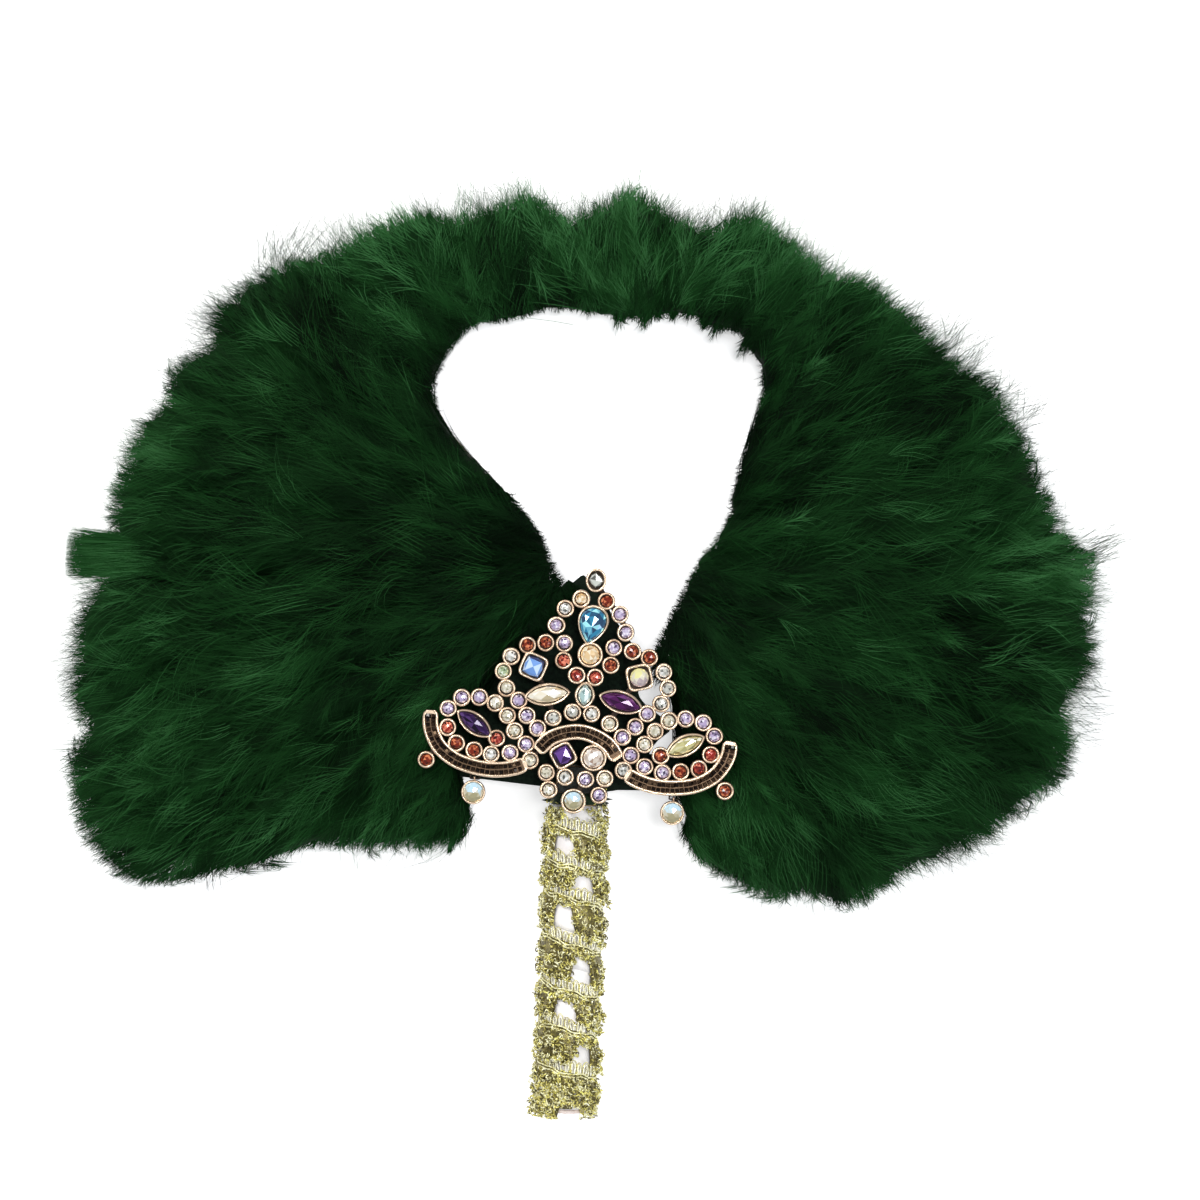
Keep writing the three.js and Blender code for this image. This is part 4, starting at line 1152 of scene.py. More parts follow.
# The strip of satin that shows in front at the handle's very end, under the gimp's last turn.
OPEN_END_TOP = 2.6
OPEN_END_MIDDLE = 1.2
OPEN_END_HALF = 3.8
FOLD_RADIUS = 13  # where the mat is folded tight, its inner side is thrown out past this
MAT_RADIUS = 11  # and comes back to this


def at_open_end(place):
    """Whether a point would hide the strip of satin at the handle's end."""
    return place[1] < OPEN_END_TOP and abs(place[0] - OPEN_END_MIDDLE) < OPEN_END_HALF and place[2] > 0


def lay_mat(start, end):
    """The fringe's woven ground, a lumpy strip under its curls."""
    bm = bmesh.new()
    bmesh.ops.create_grid(bm, x_segments=700, y_segments=8, size=0.5)
    places = np.array([v.co for v in bm.verts])
    turn = start + (places[:, 0] + 0.5) * (end - start)
    share = 0.5 - places[:, 1]
    across = 0.9 - share * (fringe_depth(turn) + 0.2)
    lumps = 0.3 * np.sin(turn * 301 + 3 * across) * np.sin(across * 2.3 + turn * 97)
    out = 0.25 + (0.55 * gimp_swell(turn) + lumps) * np.sin(math.pi * np.clip(share, 0, 1)) ** 0.6
    for vert, place in zip(bm.verts, on_gimp(turn, across, out)):
        if at_open_end(place):
            place[1] = OPEN_END_TOP
        vert.co = place
    bmesh.ops.recalc_face_normals(bm, faces=bm.faces)
    bmesh.ops.solidify(bm, geom=bm.faces, thickness=0.2)
    for vert in bm.verts:
        radius = math.hypot(vert.co.x, vert.co.z)
        if radius > FOLD_RADIUS:
            vert.co.x *= MAT_RADIUS / radius
            vert.co.z *= MAT_RADIUS / radius
    return bm


def lash_loops(rng, start, end):
    """The loops that stand up from the gimp's spine: each an outline of fine thread round a paler one."""
    outer, inner = [], []
    round_the_loop = np.array([-0.62, -0.95, -1.05, -0.8, 0, 0.8, 1.05, 0.95, 0.62])
    up_the_loop = np.array([0.0, 0.3, 0.66, 0.9, 1, 0.9, 0.66, 0.3, 0.0])
    place = start + 0.01
    while place < end - 0.01:
        half = rng.uniform(0.9, 1.2)
        tall = rng.uniform(4.3, 6.2)
        lean = rng.normal(0, 0.5)
        stand = rng.uniform(0.2, 1.1)
        for lines, share in ((outer, 1.0), (inner, 0.6)):
            up = 0.9 + up_the_loop * (tall - 0.9) * (0.5 + 0.5 * share)
            aside = round_the_loop * half * share + lean * up / tall
            lines.append(on_gimp(place + aside / GIMP_ROUND, up, 0.3 + stand * up / tall))
        place += rng.uniform(2.2, 2.8) / GIMP_ROUND
    return outer, inner


def wind_gimp():
    """Gimp braid: looped eyelashes over a corded spine, with a fringe of curled thread hanging under it."""
    rng = np.random.default_rng(31)
    start, end = -GIMP["lead"], GIMP["wound"]
    # Beside the olive and the pale thread: a brighter copy of the olive, partly paler thread and partly
    # painted light, and a near-black copy that is painted shade.
    olive = gimp_finish("gimp", (0.08, 0.065, 0.01), (0.76, 0.67, 0.19))
    pale = gimp_finish("gimp_pale", (0.62, 0.58, 0.38), (0.92, 0.89, 0.7))
    light = gimp_finish("gimp_light", (0.36, 0.3, 0.08), (1.0, 0.97, 0.58))
    shade = gimp_finish("gimp_shade", (0.016, 0.012, 0.003), (0.17, 0.14, 0.035))
    turn = np.linspace(start, end, int((end - start) * 60))
    wave = 0.5 * np.sin(turn * 2 * math.pi * 5.3) + 0.2 * np.sin(turn * 2 * math.pi * 11.7)
    raised = 0.9 + 0.4 * np.sin(2 * math.pi * turn) ** 2
    spine = [on_gimp(turn, side + wave, raised) for side in (0.6, -0.55)]
    lashes, lash_hearts = lash_loops(rng, start, end)
    count = 700
    where = rng.uniform(start, end, count)
    across, out = rng.uniform(-0.4, 1.6, count), rng.uniform(0.3, 0.8, count)
    flecks = curls(rng, where, across, out, rng.uniform(0.3, 0.5, count))
    bm = bmesh.new()
    # The mat takes the near-black finish: painted shade in the gaps between the curls.
    stamp(bm, lay_mat(start, end), finish=2)
    add_cords(bm, [(spine, 0.6, 1, 3), (lashes, 0.3, 0, 0)])
    add_cords(bm, [(lash_hearts, 0.75, 0, 1), (flecks, 0.34, 0, 0)])
    braid = piece_from(bm, "gimp_braid", [olive, pale, shade, light])
    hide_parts("gimp_winding")

    count = 4800
    where = rng.uniform(start, end, count)
    down = rng.random(count) ** 0.9
    across = 0.2 - down * fringe_depth(where)
    full = gimp_swell(where) * np.sin(math.pi * np.clip(down, 0.08, 0.9))
    out = 0.4 + full * rng.uniform(0.5, 1.25, count)
    lines = curls(rng, where, across, out, rng.uniform(0.5, 1.0, count))
    for knot in np.arange(start + 0.02, end, 0.052):
        number = int(rng.uniform(7, 13))
        depth = fringe_depth(np.array([knot]))[0]
        if depth < 3:
            continue
        lines += curls(
            rng,
            knot + rng.normal(0, 0.75, number) / GIMP_ROUND,
            1.0 - depth + rng.normal(0, 0.75, number),
            gimp_swell(knot) * rng.uniform(0.8, 1.3) + rng.normal(0, 0.4, number),
            rng.uniform(0.45, 0.8, number),
        )
    for degrees, height, wide, tall, number in BUNCHES:
        where = (degrees + rng.normal(0, wide, number)) / 360
        up = height + rng.normal(0, tall, number) - gimp_height(where)
        lines += curls(rng, where, up, rng.uniform(0.3, 2.4, number), rng.uniform(0.45, 0.85, number))
    lines = [line for line in lines if not any(at_open_end(point) for point in line)]
    middle = gimp_height(3.6)
    # Every fifth curl has the same thickness and finish: finish 1 is the brighter copy, partly painted
    # light, and finish 2 the near-black copy, painted shade.
    looks = ((0.42, 0), (0.62, 0), (0.56, 1), (0.42, 1), (0.5, 2))
    for part in ("upper", "lower"):
        kept = [line for line in lines if (line[0][1] >= middle) == (part == "upper")]
        bm = bmesh.new()
        add_cords(bm, [(kept[i::5], thickness, 0, finish) for i, (thickness, finish) in enumerate(looks)])
        bmesh.ops.recalc_face_normals(bm, faces=bm.faces)
        piece_from(bm, f"gimp_fringe_{part}", [olive, light, shade])


TAPE = {"inner": 9.15, "low": 117.4, "high": 121.8, "turns": 5, "pitch": 0.9}
# The tape's torn corners: degrees round from the front, height, how far they reach, and their twist.
TORN_CORNERS = [
    (-88, 118.3, 3.6, 0.9), (-78, 120.3, 2.4, -0.6), (92, 119.6, 3.2, 1.1), (104, 117.9, 2.2, -0.8),
    (60, 118.6, 1.8, 0.7),
]


def bind_neck():
    """Green stem tape wound round the top of the handle, with torn corners that stand out."""
    profile = [(TAPE["inner"], TAPE["low"])]
    for step in range(TAPE["turns"]):
        low = TAPE["low"] + step * TAPE["pitch"]
        profile += [(10.35, low + 0.05), (10.6, low + 0.45), (10.45, low + 0.85)]
    profile += [(TAPE["inner"], TAPE["high"]), (TAPE["inner"], TAPE["low"])]
    bm = turned(profile, 40)
    turn_to_handle(bm)
    for vert in bm.verts:
        angle = math.atan2(vert.co.x, vert.co.z)
        vert.co.y += 0.35 * math.sin(angle + 0.6)
        vert.co.x *= 1 + 0.02 * math.sin(5 * angle)
    for degrees, height, reach, twist in TORN_CORNERS:
        turn = math.radians(degrees)
        out = Vector((math.sin(turn), 0, math.cos(turn)))
        cone = {"segments": 5, "radius1": 1.5, "radius2": 0.12, "depth": reach, "cap_ends": True}
        flap = bmesh.ops.create_cone(bm, **cone)["verts"]
        bmesh.ops.scale(bm, vec=(1, 0.35, 1), verts=flap)
        aim = out.to_track_quat("Z", "Y").to_matrix().to_4x4() @ Matrix.Rotation(twist, 4, "Z")
        where = Matrix.Translation(out * (10.2 + reach / 2) + Vector((0, height, 0)))
        bmesh.ops.transform(bm, matrix=where @ aim, verts=flap)
    bmesh.ops.recalc_face_normals(bm, faces=bm.faces)
    green = felt_finish("green_tape", (0.004, 0.012, 0.004), (0.02, 0.045, 0.018))
    tape = piece_from(bm, "neck_tape", [green])
    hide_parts("neck_binding")


def bulge(place, middle, half):
    """A smooth hump along a line: 1 at its middle, and nearly 0 at twice its half width."""
    return math.exp(-(((place - middle) / half) ** 2))


def lay_felts():
    """The neck's covers, let out where they show round the brooch, and drawn in along their foot."""
    felt = felt_finish("green_felt", (0.0015, 0.005, 0.0025), (0.007, 0.017, 0.009))
    for side in ("front", "back"):
        name = f"neck_felt_{side}"
        bm = node_copy(name)
        merge_flat(bm)
        long_edges = [e for e in bm.edges if e.calc_length() > 8]
        bmesh.ops.subdivide_edges(bm, edges=long_edges, cuts=7)
        for vert in bm.verts:
            x, y = vert.co.x, vert.co.y
            if x > 4:  # right of the crown
                vert.co.x += 5 * bulge(y, 174, 9)
            elif x < -6:  # left of its point
                vert.co.x -= 3 * bulge(y, 190, 9)
            if x > 15 and y > 135:  # over the band's right run
                vert.co.x += 13 * bulge(y, 149, 7)
            if y > 194:  # above the crown's point
                vert.co.y += 5.5 * bulge(x, -1.5, 3.5)
            elif y < 128 and abs(x) > 10:  # along the foot, beside the handle
                vert.co.y += 1
        round_rims(bm, 0.6, 0.3, 2)
        bmesh.ops.triangulate(bm, faces=bm.faces)
        area = sum(face.calc_area() for face in bm.faces) / 2
        sheet = piece_from(bm, name + "_sheet", [felt], smooth=False)
        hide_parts(name)


def seat_foam_pad():
    bm = node_copy("brooch_pad")
    merge_flat(bm)
    round_rims(bm, 0.9, 0.7, 3)
    pad = piece_from(bm, "foam_pad", [foam_finish()])
    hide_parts("brooch_pad")


# Brooch. Its own frame has the middle of the band at the origin and its crown up +Y.

TO_FAN = Matrix.Translation(Vector(BROOCH_AT)) @ Matrix.Rotation(BROOCH_TILT, 4, "Z")
STUD_SHARES = [
    (0.08, 1.045), (0.173, 0.972), (0.221, 0.863), (0.155, 0.758), (0.274, 0.748), (0.386, 0.722),
    (0.148, 0.647), (0.06, 0.562), (0.483, 0.641), (0.52, 0.541), (0.489, 0.441), (0.547, 0.338),
    (0.467, 0.265), (0.411, 0.175), (0.407, 0.369), (0.343, 0.278), (0.269, 0.205), (0.653, 0.363),
    (0.762, 0.35), (0.842, 0.273), (0.832, 0.154), (0.766, 0.06), (0.653, 0.027), (0.519, 0.114),
    (0.543, 0.013), (0.426, 0.035), (0.332, 0.099), (0.295, 0.002), (0.943, -0.063), (0.177, 0.281),
    (0.062, 0.332), (0.185, -0.064), (0.063, -0.081), (0.159, -0.172),
]
# The small stones' glass in the same order, from the crown's edge down to the row under the band.
LEFT_GLASS = (
    "amber clear violet violet garnet garnet ruby ruby clear leaf cream cream "
    "cream cream violet violet violet violet violet violet ruby garnet garnet ruby "
    "clear violet violet cream garnet clear clear cream clear cream"
).split()
RIGHT_GLASS = (
    "garnet violet violet violet garnet garnet garnet ruby clear clear clear cream "
    "cream cream violet violet violet violet violet violet ruby ruby garnet garnet "
    "violet violet violet clear garnet cream clear cream violet violet"
).split()
OUTER_RUN = [
    (0.947, 0.25), (0.938, 0.15), (0.878, 0.037), (0.777, -0.037), (0.65, -0.073), (0.508, -0.08),
    (0.383, -0.053), (0.315, -0.02),
]
ARCH_RUN = [
    (-0.255, 0.067), (-0.185, 0.148), (-0.098, 0.193), (0, 0.212), (0.098, 0.193), (0.185, 0.148),
    (0.255, 0.067),
]
STUD = {"radius": 3.4, "stone": 2.15, "rim_top": 3.6}
CUP = {"rim": 1.15, "height": 3.9}
BAND = {"width": 5.9, "height": 4.2, "channel": 4.3}
BIG_STONES = [
    # name, cut, half length and width, centre in shares of the half width, degrees, glass, sides
    ("crown_oval", "round", (3.4, 2.8), (0, 1.17), 90, "crystal", 4),
    ("pear", "pear", (6.6, 6), (0.005, 0.885), -98, "aqua", 10),
    ("topaz", "round", (3.7, 3.7), (0.012, 0.7), 0, "topaz", 8),
    ("navette", "marquise", (4, 2.7), (0.005, 0.445), 90, "pale_aqua", 6),
    ("square_left", "square", (3.8, 3.8), (-0.335, 0.59), -18, "sky", 4),
    ("square_right", "square", (3.8, 3.8), (0.335, 0.59), 18, "jonquil", 8),
    ("upper_marquise_left", "marquise", (7.6, 3.2), (-0.23, 0.424), 12, "champagne", 6),
    ("upper_marquise_right", "marquise", (7.6, 3.2), (0.235, 0.424), -12, "plum", 6),
    ("lower_marquise_left", "marquise", (7, 2.9), (-0.666, 0.195), -31, "dusk", 8),
    ("lower_marquise_right", "marquise", (7, 2.9), (0.666, 0.195), 31, "citron", 8),
    ("small_square", "square", (3.4, 3.4), (-0.09, 0.053), 35, "amethyst", 4),
    ("clear_round", "round", (3.9, 3.9), (0.1, 0.058), 0, "rosy", 8),
    ("aurora_round", "round", (3.6, 3.6), (0.003, -0.225), 0, "aurora", 8),
]
# Stones that are cut otherwise than their cups: cut, half length and width, and degrees round in the cup.
OWN_CUT = {"crown_oval": ("square", (2.7, 2.4), 45), "square_right": ("round", (3.65, 3.65), 0)}
# Glass: the colour of its facets in painted shade, plain, and at a painted glint.
GLASS = {
    "garnet": ((0.025, 0.003, 0.001), (0.17, 0.016, 0.005), (0.62, 0.19, 0.08)),
    "ruby": ((0.035, 0.002, 0.002), (0.27, 0.014, 0.008), (0.8, 0.25, 0.15)),
    "violet": ((0.07, 0.045, 0.11), (0.5, 0.4, 0.62), (0.95, 0.9, 1.0)),
    "cream": ((0.3, 0.27, 0.18), (0.72, 0.68, 0.53), (1.0, 0.98, 0.9)),
    "clear": ((0.08, 0.08, 0.07), (0.6, 0.6, 0.54), (1.0, 1.0, 0.98)),
    "amber": ((0.4, 0.2, 0.05), (0.78, 0.53, 0.26), (1.0, 0.9, 0.7)),
    "leaf": ((0.1, 0.16, 0.06), (0.42, 0.52, 0.3), (0.88, 0.95, 0.8)),
    "crystal": ((0.09, 0.09, 0.08), (0.66, 0.68, 0.62), (1.0, 1.0, 0.98)),
    "aqua": ((0.003, 0.05, 0.13), (0.01, 0.24, 0.44), (0.4, 0.9, 0.97)),
    "topaz": ((0.42, 0.2, 0.06), (0.84, 0.6, 0.32), (1.0, 0.9, 0.68)),
    "pale_aqua": ((0.09, 0.17, 0.17), (0.42, 0.6, 0.58), (0.9, 1.0, 1.0)),
    "sky": ((0.012, 0.03, 0.14), (0.15, 0.32, 0.72), (0.62, 0.8, 1.0)),
    "jonquil": ((0.5, 0.4, 0.42), (0.82, 0.76, 0.62), (0.9, 0.86, 0.4)),
    "champagne": ((0.55, 0.46, 0.28), (0.92, 0.84, 0.66), (1.0, 0.97, 0.9)),
    "plum": ((0.011, 0.001, 0.013), (0.065, 0.007, 0.072), (0.16, 0.05, 0.19)),
    "amethyst": ((0.012, 0.004, 0.026), (0.05, 0.016, 0.12), (0.12, 0.05, 0.25)),
    "dusk": ((0.005, 0.002, 0.011), (0.028, 0.009, 0.062), (0.09, 0.045, 0.16)),
    "citron": ((0.22, 0.2, 0.06), (0.62, 0.57, 0.26), (0.97, 0.95, 0.76)),
    "rosy": ((0.4, 0.27, 0.2), (0.76, 0.66, 0.56), (1.0, 0.97, 0.93)),
    "aurora": ((0.4, 0.36, 0.2), (0.68, 0.62, 0.46), (0.62, 0.86, 1.0)),
    "brown": ((0.005, 0.003, 0.002), (0.026, 0.014, 0.007), (0.34, 0.22, 0.13)),
}
glass_made = {}


def glass(name):
    if name not in glass_made:
        glass_made[name] = glass_finish(name + "_glass", *GLASS[name])
    return glass_made[name]


def glass_piece(bm, name, colour, matrix, body=FAN_BODY):
    """Stones of one glass, placed by a matrix, become a piece."""
    bmesh.ops.transform(bm, matrix=matrix, verts=bm.verts)
    return piece_from(bm, name, [glass(colour)], body, smooth=False)


def lean(rng, spread):
    """A small random tilt across X and then Y."""
    return Matrix.Rotation(rng.normal(0, spread), 4, "X") @ Matrix.Rotation(rng.normal(0, spread), 4, "Y")


def up_by(height):
    return Vector((0, 0, height))


def squared(value):
    return math.copysign(abs(value) ** 0.45, value)


def outline(cut, size, turn):
    """A point of a stone's outline."""
    a, b = size
    c, s = math.cos(turn), math.sin(turn)
    if cut == "round":
        return a * c, b * s
    if cut == "square":
        return a * squared(c), b * squared(s)
    if cut == "marquise":
        return a * c, b * s * abs(s) ** 0.5
    return a * c, b * s * max(0, math.sin(turn / 2)) ** 0.7


def cut_stone(cut, size, sides, crown, seed, table=0.56, lit=0.0):
    """A faceted stone with its girdle at height zero.

    Each facet is painted with its own share of light and shade, and lit is how much more painted light the
    crown's side has.
    """
    bm = bmesh.new()
    step = 2 * math.pi / sides
    offset = 0.5 * step if cut == "square" else 0.0

    def ring(count, scale, height, shift):
        for i in range(count):
            turn = ((i + shift) * 2 * math.pi / count + offset) % (2 * math.pi)
            x, y = outline(cut, [half * scale for half in size], turn)
            bm.verts.new((x, y, height))

    middle = 0.08 * size[0] if cut == "pear" else 0
    bm.verts.new((middle, 0, crown + 0.07 * min(size)))
    ring(sides, table, crown, 0)
    ring(sides, 0.5 * (1 + table) + 0.05, crown * 0.55, 0.5)
    ring(sides * 2, 1.0, 0, 0)
    ring(sides * 2, 0.97, -0.25, 0)
    ring(sides, 0.4, -1.3, 0)
    hull = bmesh.ops.convex_hull(bm, input=bm.verts, use_existing_faces=False)
    spare = [v for v in hull["geom_interior"] + hull["geom_unused"] if isinstance(v, bmesh.types.BMVert)]
    bmesh.ops.delete(bm, geom=spare, context="VERTS")
    bmesh.ops.dissolve_limit(bm, angle_limit=math.radians(1.5), verts=bm.verts, edges=bm.edges)
    bmesh.ops.recalc_face_normals(bm, faces=bm.faces)
    rng = np.random.default_rng(seed)
    facet = bm.faces.layers.float.new("facet")
    spread = 0.16 if lit > 0.5 else 0.38
    for face in bm.faces:
        middle = face.calc_center_median()
        upwards = middle.y / (math.hypot(middle.x, middle.y) + 1e-6)
        face[facet] = min(1, max(0, rng.normal(0.5, spread) + lit * upwards))
        face.smooth = False
    return bm


def brooch_point(share):
    return Vector((share[0], share[1], 0)) * BROOCH_HALF_WIDTH


def stud_places():
    """(place, glass) of each small round setting."""
    found = []
    for mirror, colours in ((1, RIGHT_GLASS), (-1, LEFT_GLASS)):
        for (x, y), colour in zip(STUD_SHARES, colours):
            found.append((brooch_point((mirror * x, y)), colour))
    return found


def run_line(shares, count):
    """Evenly spaced points on the smooth curve through a run's points."""
    knots = [np.array(share) * BROOCH_HALF_WIDTH for share in shares]
    knots = [2 * knots[0] - knots[1], *knots, 2 * knots[-1] - knots[-2]]
    fine = []
    for p0, p1, p2, p3 in zip(knots, knots[1:], knots[2:], knots[3:]):
        t1 = np.linalg.norm(p1 - p0) ** 0.5
        t2 = t1 + np.linalg.norm(p2 - p1) ** 0.5
        t3 = t2 + np.linalg.norm(p3 - p2) ** 0.5
        for t in np.linspace(t1, t2, 24, endpoint=False):
            a1 = (t1 - t) / t1 * p0 + t / t1 * p1
            a2 = (t2 - t) / (t2 - t1) * p1 + (t - t1) / (t2 - t1) * p2
            a3 = (t3 - t) / (t3 - t2) * p2 + (t - t2) / (t3 - t2) * p3
            b1 = (t2 - t) / t2 * a1 + t / t2 * a2
            b2 = (t3 - t) / (t3 - t1) * a2 + (t - t1) / (t3 - t1) * a3
            fine.append((t2 - t) / (t2 - t1) * b1 + (t - t1) / (t2 - t1) * b2)
    fine = np.array([*fine, knots[-2]])
    reach = np.concatenate([[0], np.cumsum(np.linalg.norm(np.diff(fine, axis=0), axis=1))])
    even = np.linspace(0, reach[-1], count)
    return np.column_stack(on_line(even, reach, fine)), reach[-1]


def on_line(at, reach, line):
    """Where a line is, or how it heads, at so much of its reach."""
    return [np.interp(at, reach, line[:, k]) for k in (0, 1)]


def headings(line):
    return unit(np.gradient(line, axis=0))


def band_runs():
    mirrored = [(-x, y) for x, y in OUTER_RUN]
    return {"right": OUTER_RUN, "left": mirrored, "arch": ARCH_RUN}


def skin(bm, rings):
    """Walls between rings of points, and a face over each end."""
    loops = []
    for ring in rings:
        verts = [bm.verts.new(point) for point in ring]
        edges = [bm.edges.new((verts[i - 1], verts[i])) for i in range(len(verts))]
        loops.append((edges, verts))
    for (near, _), (far, _) in zip(loops, loops[1:]):
        bmesh.ops.bridge_loops(bm, edges=near + far)
    for _, verts in (loops[0], loops[-1]):
        bm.faces.new(verts)


def lay_band(bm, shares):
    """One run of the band: a channel between two rounded rims, closed at both ends."""
    line, length = run_line(shares, 41)
    along = headings(line)
    aside = np.column_stack([-along[:, 1], along[:, 0]])
    half, top = BAND["width"] / 2, BAND["height"]
    rings = []
    for i, (place, out) in enumerate(zip(line, aside)):
        end = min(i, len(line) - 1 - i) * length / (len(line) - 1)
        round_off = math.sqrt(max(0.0, 1 - ((2.2 - min(end, 2.2)) / 2.4) ** 2))
        deep = 2.0 if end > 1.7 else top - 0.1
        wide = half * (0.35 + 0.65 * round_off)
        inner = wide - (BAND["width"] - BAND["channel"]) / 2
        lip = top - 0.6 if end > 1.7 else deep
        side = [
            (wide, 0), (wide, top - 0.5), (wide - 0.12, top - 0.12), (wide - 0.4, top), (inner, top - 0.05),
            (inner - 0.12, lip), (inner - 0.12, deep),
        ]
        shape = [(-across, height) for across, height in side] + side[::-1]
        rings.append([(*(place + out * across), height) for across, height in shape])
    skin(bm, rings)


def fill_band(name, shares, seed, metal):
    """Two rows of tiny square brown stones in a run's channel, on a metal bed that shows between them."""
    rng = np.random.default_rng(seed)
    bm = bmesh.new()
    facet = bm.faces.layers.float.new("facet")
    line, length = run_line(shares, 400)
    along = headings(line)
    reach = np.linspace(0, length, 400)
    for row in (-1.0, 1.0):
        place = 1.9
        while place < length - 1.8:
            at, way = on_line(place, reach, line), on_line(place, reach, along)
            first = len(bm.faces)
            cone = {"segments": 4, "radius1": 1.17, "radius2": 0.72, "depth": 0.8, "cap_ends": True}
            made = bmesh.ops.create_cone(bm, **cone)["verts"]
            heading = math.atan2(way[1], way[0]) + math.pi / 4 + rng.normal(0, 0.06)
            tilt = Matrix.Rotation(heading, 4, "Z") @ Matrix.Rotation(rng.normal(0, 0.1), 4, "X")
            where = Vector((at[0] - way[1] * row, at[1] + way[0] * row, 3.6 + rng.normal(0, 0.05)))
            bmesh.ops.transform(bm, matrix=Matrix.Translation(where) @ tilt, verts=made)
            bm.faces.ensure_lookup_table()
            # The band's stones are painted mostly in shade, with a few painted glints.
            for face in bm.faces[first:]:
                face[facet] = min(1, max(0, rng.normal(0.25, 0.27)))
            place += 1.74
    bed, rings = bmesh.new(), []
    for place, way in zip(line[8:-7:8], along[8:-7:8]):
        out = np.array([-way[1], way[0]])
        cross = ((-2, 2), (-2, 3.3), (2, 3.3), (2, 2))
        rings.append([(*(place + out * side), height) for side, height in cross])
    skin(bed, rings)
    stamp(bm, bed, finish=1)
    bmesh.ops.recalc_face_normals(bm, faces=bm.faces)
    bmesh.ops.transform(bm, matrix=TO_FAN, verts=bm.verts)
    looks = [glass("brown"), metal]
    stones = piece_from(bm, f"band_stones_{name}", looks, smooth=False)
    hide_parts(f"pave_strip_{name}")


def web_links():
    """Pairs of places that a bar joins, the closest first, until all the settings are one piece."""
    settings = [[place, STUD["radius"], i] for i, (place, _) in enumerate(stud_places())]
    for name, cut, size, share, *_ in BIG_STONES:
        settings.append([brooch_point(share), sum(size) / 2 + CUP["rim"], name])
    for name, shares in band_runs().items():
        settings += [[brooch_point(share), BAND["width"] / 2, name] for share in shares]
    pairs = []
    for i, one in enumerate(settings):
        for other in settings[i + 1 :]:
            pairs.append((round((one[0] - other[0]).length - one[1] - other[1], 4), len(pairs), one, other))
    links = []
    for _, _, one, other in sorted(pairs, key=lambda pair: pair[:2]):
        if one[2] == other[2]:
            continue
        merged = other[2]
        for setting in settings:
            if setting[2] == merged:
                setting[2] = one[2]
        links.append((one[0], other[0]))
    return links


def cast_frame(metal):
    """The brooch's one casting: small settings, cups, the band's rims, the web and two staples."""
    rng = np.random.default_rng(5)
    r, top = STUD["radius"], STUD["rim_top"]
    profile = [
        (0, 0), (r - 0.35, 0), (r, 0.35), (r - 0.02, top - 0.7), (r - 0.12, top - 0.2), (r - 0.36, top),
        (r - 0.74, top - 0.04), (r - 0.94, top - 0.25), (r - 1.0, top - 1.2), (0, top - 1.3),
    ]
    small = mesh_of(turned(profile, 18), "small_setting")
    bm = bmesh.new()
    for place, _ in stud_places():
        tilt = lean(rng, 0.03)
        size = Matrix.Diagonal((*(1 + rng.normal(0, 0.02, 2)), 1 + rng.uniform(-0.04, 0.05), 1))
        stamp(bm, small, Matrix.Translation(place) @ tilt @ size)
    for name, cut, size, share, degrees, *_ in BIG_STONES:
        cup = bmesh.new()
        high = CUP["height"]
        rings = []
        for grow, z in (
            (0.75, 0), (1.15, 0.4), (1.13, high - 0.7), (1.02, high - 0.15), (0.8, high + 0.05),
            (0.42, high), (0.22, high - 0.25), (0.15, high - 1.3), (-1.2, high - 1.6),
        ):
            turns = [(i + 0.5) * 2 * math.pi / 40 for i in range(40)]
            rings.append([(*outline(cut, [half + grow for half in size], t), z) for t in turns])
        skin(cup, rings)
        bmesh.ops.recalc_face_normals(cup, faces=cup.faces)
        turn = Matrix.Rotation(math.radians(degrees), 4, "Z")
        stamp(bm, cup, Matrix.Translation(brooch_point(share)) @ turn)
    for shares in band_runs().values():
        run = bmesh.new()
        lay_band(run, shares)
        bmesh.ops.recalc_face_normals(run, faces=run.faces)
        stamp(bm, run)
    for one, other in web_links():
        way = other - one
        bar = bmesh.new()
        bmesh.ops.create_cube(bar, size=1)
        bmesh.ops.scale(bar, vec=(way.length, 2.2, 1.4), verts=bar.verts)
        round_edges(bar, bar.edges, 0.35, 2, clamp=False)
        turn = Matrix.Rotation(math.atan2(way.y, way.x), 4, "Z")
        stamp(bm, bar, Matrix.Translation((one + other) / 2 + up_by(0.7)) @ turn)
    for joint in frame["joints"]:
        axis = joint_axis(joint)
        legs = [(-1.7, 2.5), (-1.7, 1.0), (-1.7, 0), (-0.9, 0), (0.9, 0), (1.7, 0), (1.7, 1.0), (1.7, 2.5)]
        add_cords(bm, [([[axis + Vector((x, y, 0)) for x, y in legs]], 0.7, 2, 0)])
    bmesh.ops.transform(bm, matrix=TO_FAN, verts=bm.verts)
    casting = piece_from(bm, "brooch_casting", [metal])
    crisp = casting.modifiers.new("crisp edges", "EDGE_SPLIT")
    crisp.split_angle = math.radians(50)
    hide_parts("brooch_frame")


def joint_axis(joint):
    """A joint's place in the brooch's own frame."""
    return TO_FAN.inverted() @ (Vector(joint["pos_m"]) / MM)


def set_small_stones():
    """Round stones in the small settings, one piece for each colour of glass."""
    rng = np.random.default_rng(9)
    groups = {}
    for index, (place, colour) in enumerate(stud_places()):
        stone = cut_stone("round", (STUD["stone"], STUD["stone"]), 6, 0.95, 400 + index)
        tilt = lean(rng, 0.06)
        turn = Matrix.Rotation(rng.uniform(0, 3), 4, "Z")
        bm = groups.setdefault(colour, bmesh.new())
        if "facet" not in bm.faces.layers.float:
            bm.faces.layers.float.new("facet")
        where = Matrix.Translation(place + up_by(STUD["rim_top"] - 0.42))
        stamp(bm, stone, where @ tilt @ turn)
    for colour, bm in groups.items():
        glass_piece(bm, f"small_stones_{colour}", colour, TO_FAN)


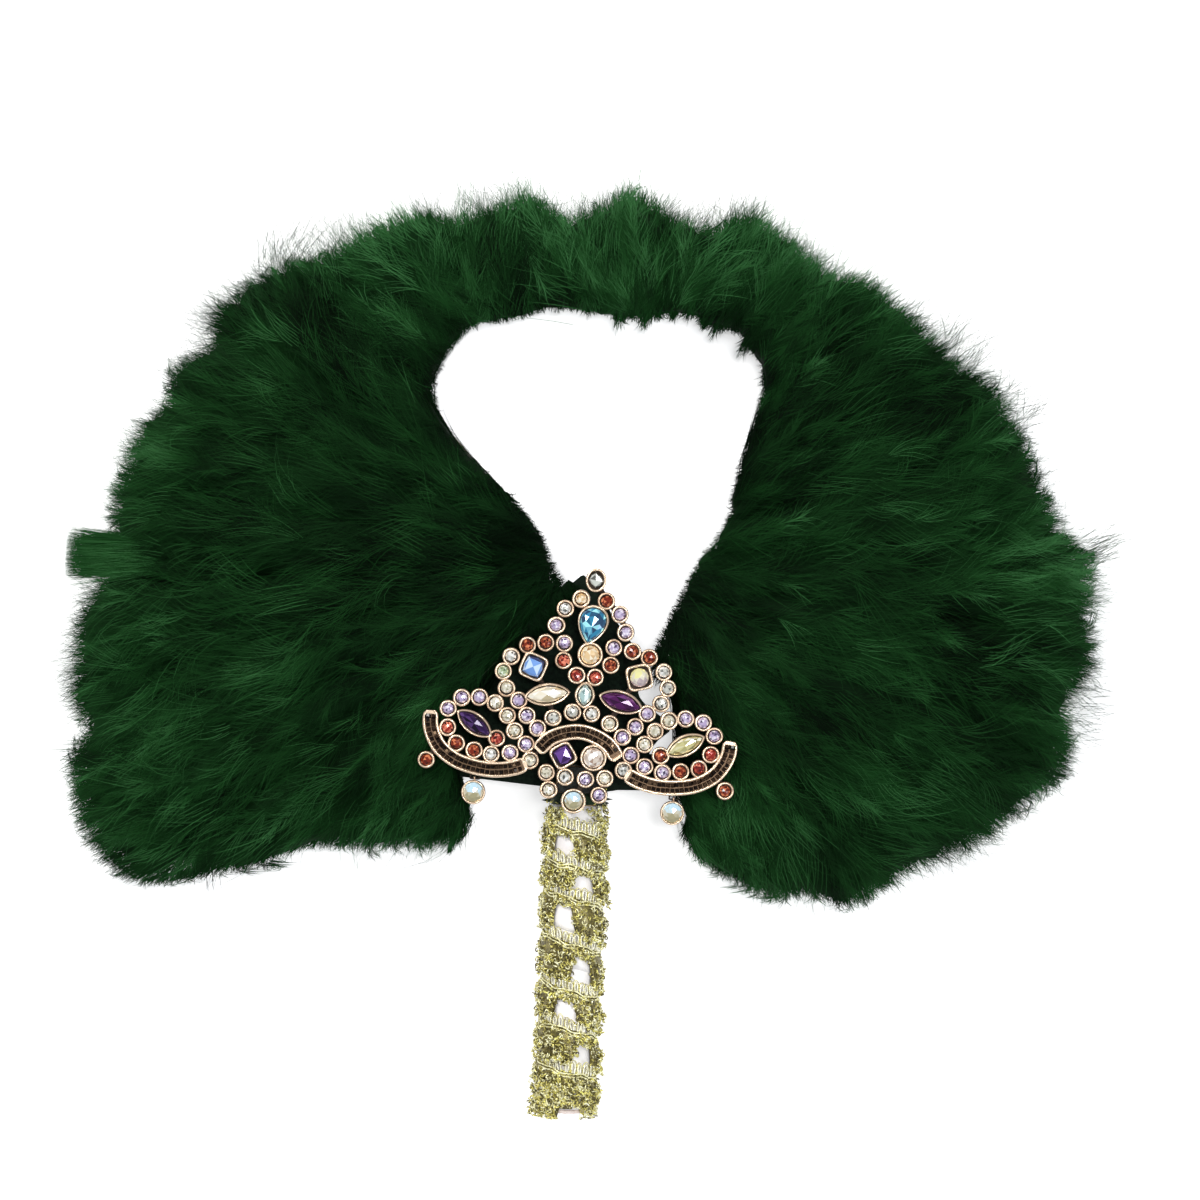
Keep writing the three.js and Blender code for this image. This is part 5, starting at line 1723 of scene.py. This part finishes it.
def set_big_stones():
    for index, (name, cut, size, share, degrees, colour, sides) in enumerate(BIG_STONES):
        cut, size, own_turn = OWN_CUT.get(name, (cut, size, 0))
        fitted = [half - 0.12 for half in size]
        table = {"square": 0.8, "marquise": 0.66}.get(cut, 0.56)
        # How much more painted light the upper facets get; below zero, the upper facets are painted darker.
        lit = {"aurora": 0.7, "sky": -0.35, "aqua": -0.2, "jonquil": 0.6}.get(colour, 0.1)
        stone = cut_stone(cut, fitted, sides, 1.45, 50 + index, table, lit)
        turn = Matrix.Rotation(math.radians(degrees + own_turn), 4, "Z")
        where = Matrix.Translation(brooch_point(share) + up_by(CUP["height"] - 0.35))
        piece = glass_piece(stone, f"{name}_stone", colour, TO_FAN @ where @ turn)
        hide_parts(f"stone_{name}")


DROP = {"stone": 3.8, "rim": 0.8, "height": 3.4, "neck": 0.5}


def hang_drops(metal):
    """A stone in a cup that hangs by a ring from each staple."""
    for seed, joint in enumerate(frame["joints"]):
        side = joint["child"].removeprefix("drop_")
        axis = joint_axis(joint)
        radius = DROP["stone"] + DROP["rim"]
        middle = axis - Vector((0, DROP["neck"] + radius, 0))
        low, high = middle.z - DROP["height"] / 2, middle.z + DROP["height"] / 2
        profile = [
            (0, low), (radius - 0.5, low), (radius - 0.1, low + 0.35), (radius, low + 1.1),
            (radius - 0.04, high - 0.5), (radius - 0.25, high - 0.08), (radius - 0.5, high),
            (radius - 0.72, high - 0.15), (radius - 0.8, high - 0.7), (radius - 0.85, high - 1.6),
            (0, high - 1.8),
        ]
        bm = bmesh.new()
        stamp(bm, turned(profile, 36), Matrix.Translation((middle.x, middle.y, 0)))
        turns = np.linspace(0, 2 * math.pi, 22)
        circle = [axis + 0.97 * Vector((0, math.cos(turn), math.sin(turn))) for turn in turns]
        add_cords(bm, [([circle], 0.6, 2, 0)])
        bmesh.ops.transform(bm, matrix=TO_FAN, verts=bm.verts)
        holder = piece_from(bm, f"drop_{side}_cup", [metal], body=joint["child"])
        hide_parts(f"drop_collet_{side}")
        stone = cut_stone("round", (DROP["stone"] - 0.05, DROP["stone"] - 0.05), 8, 1.3, 80 + seed, lit=0.7)
        where = Matrix.Translation(Vector((middle.x, middle.y, high - 0.35)))
        piece = glass_piece(stone, f"drop_{side}_stone", "aurora", TO_FAN @ where, joint["child"])
        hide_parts(f"drop_stone_{side}")


def build_brooch():
    metal = rose_gold_finish("rose_gold", (0.57, 0.39, 0.26), (0.85, 0.66, 0.48))
    bed_metal = rose_gold_finish("dark_rose_gold", (0.14, 0.085, 0.048), (0.24, 0.155, 0.09))
    cast_frame(metal)
    set_small_stones()
    set_big_stones()
    for seed, (name, shares) in enumerate(band_runs().items()):
        fill_band(name, shares, 60 + seed, bed_metal)
    hang_drops(metal)


place_camera()
light_studio()
lay_floor(floor_finish())
dress_dowel()
cap_butt()
wrap_ribbon()
wind_gimp()
bind_neck()
lay_felts()
seat_foam_pad()
build_brooch()
fluff_plumes()
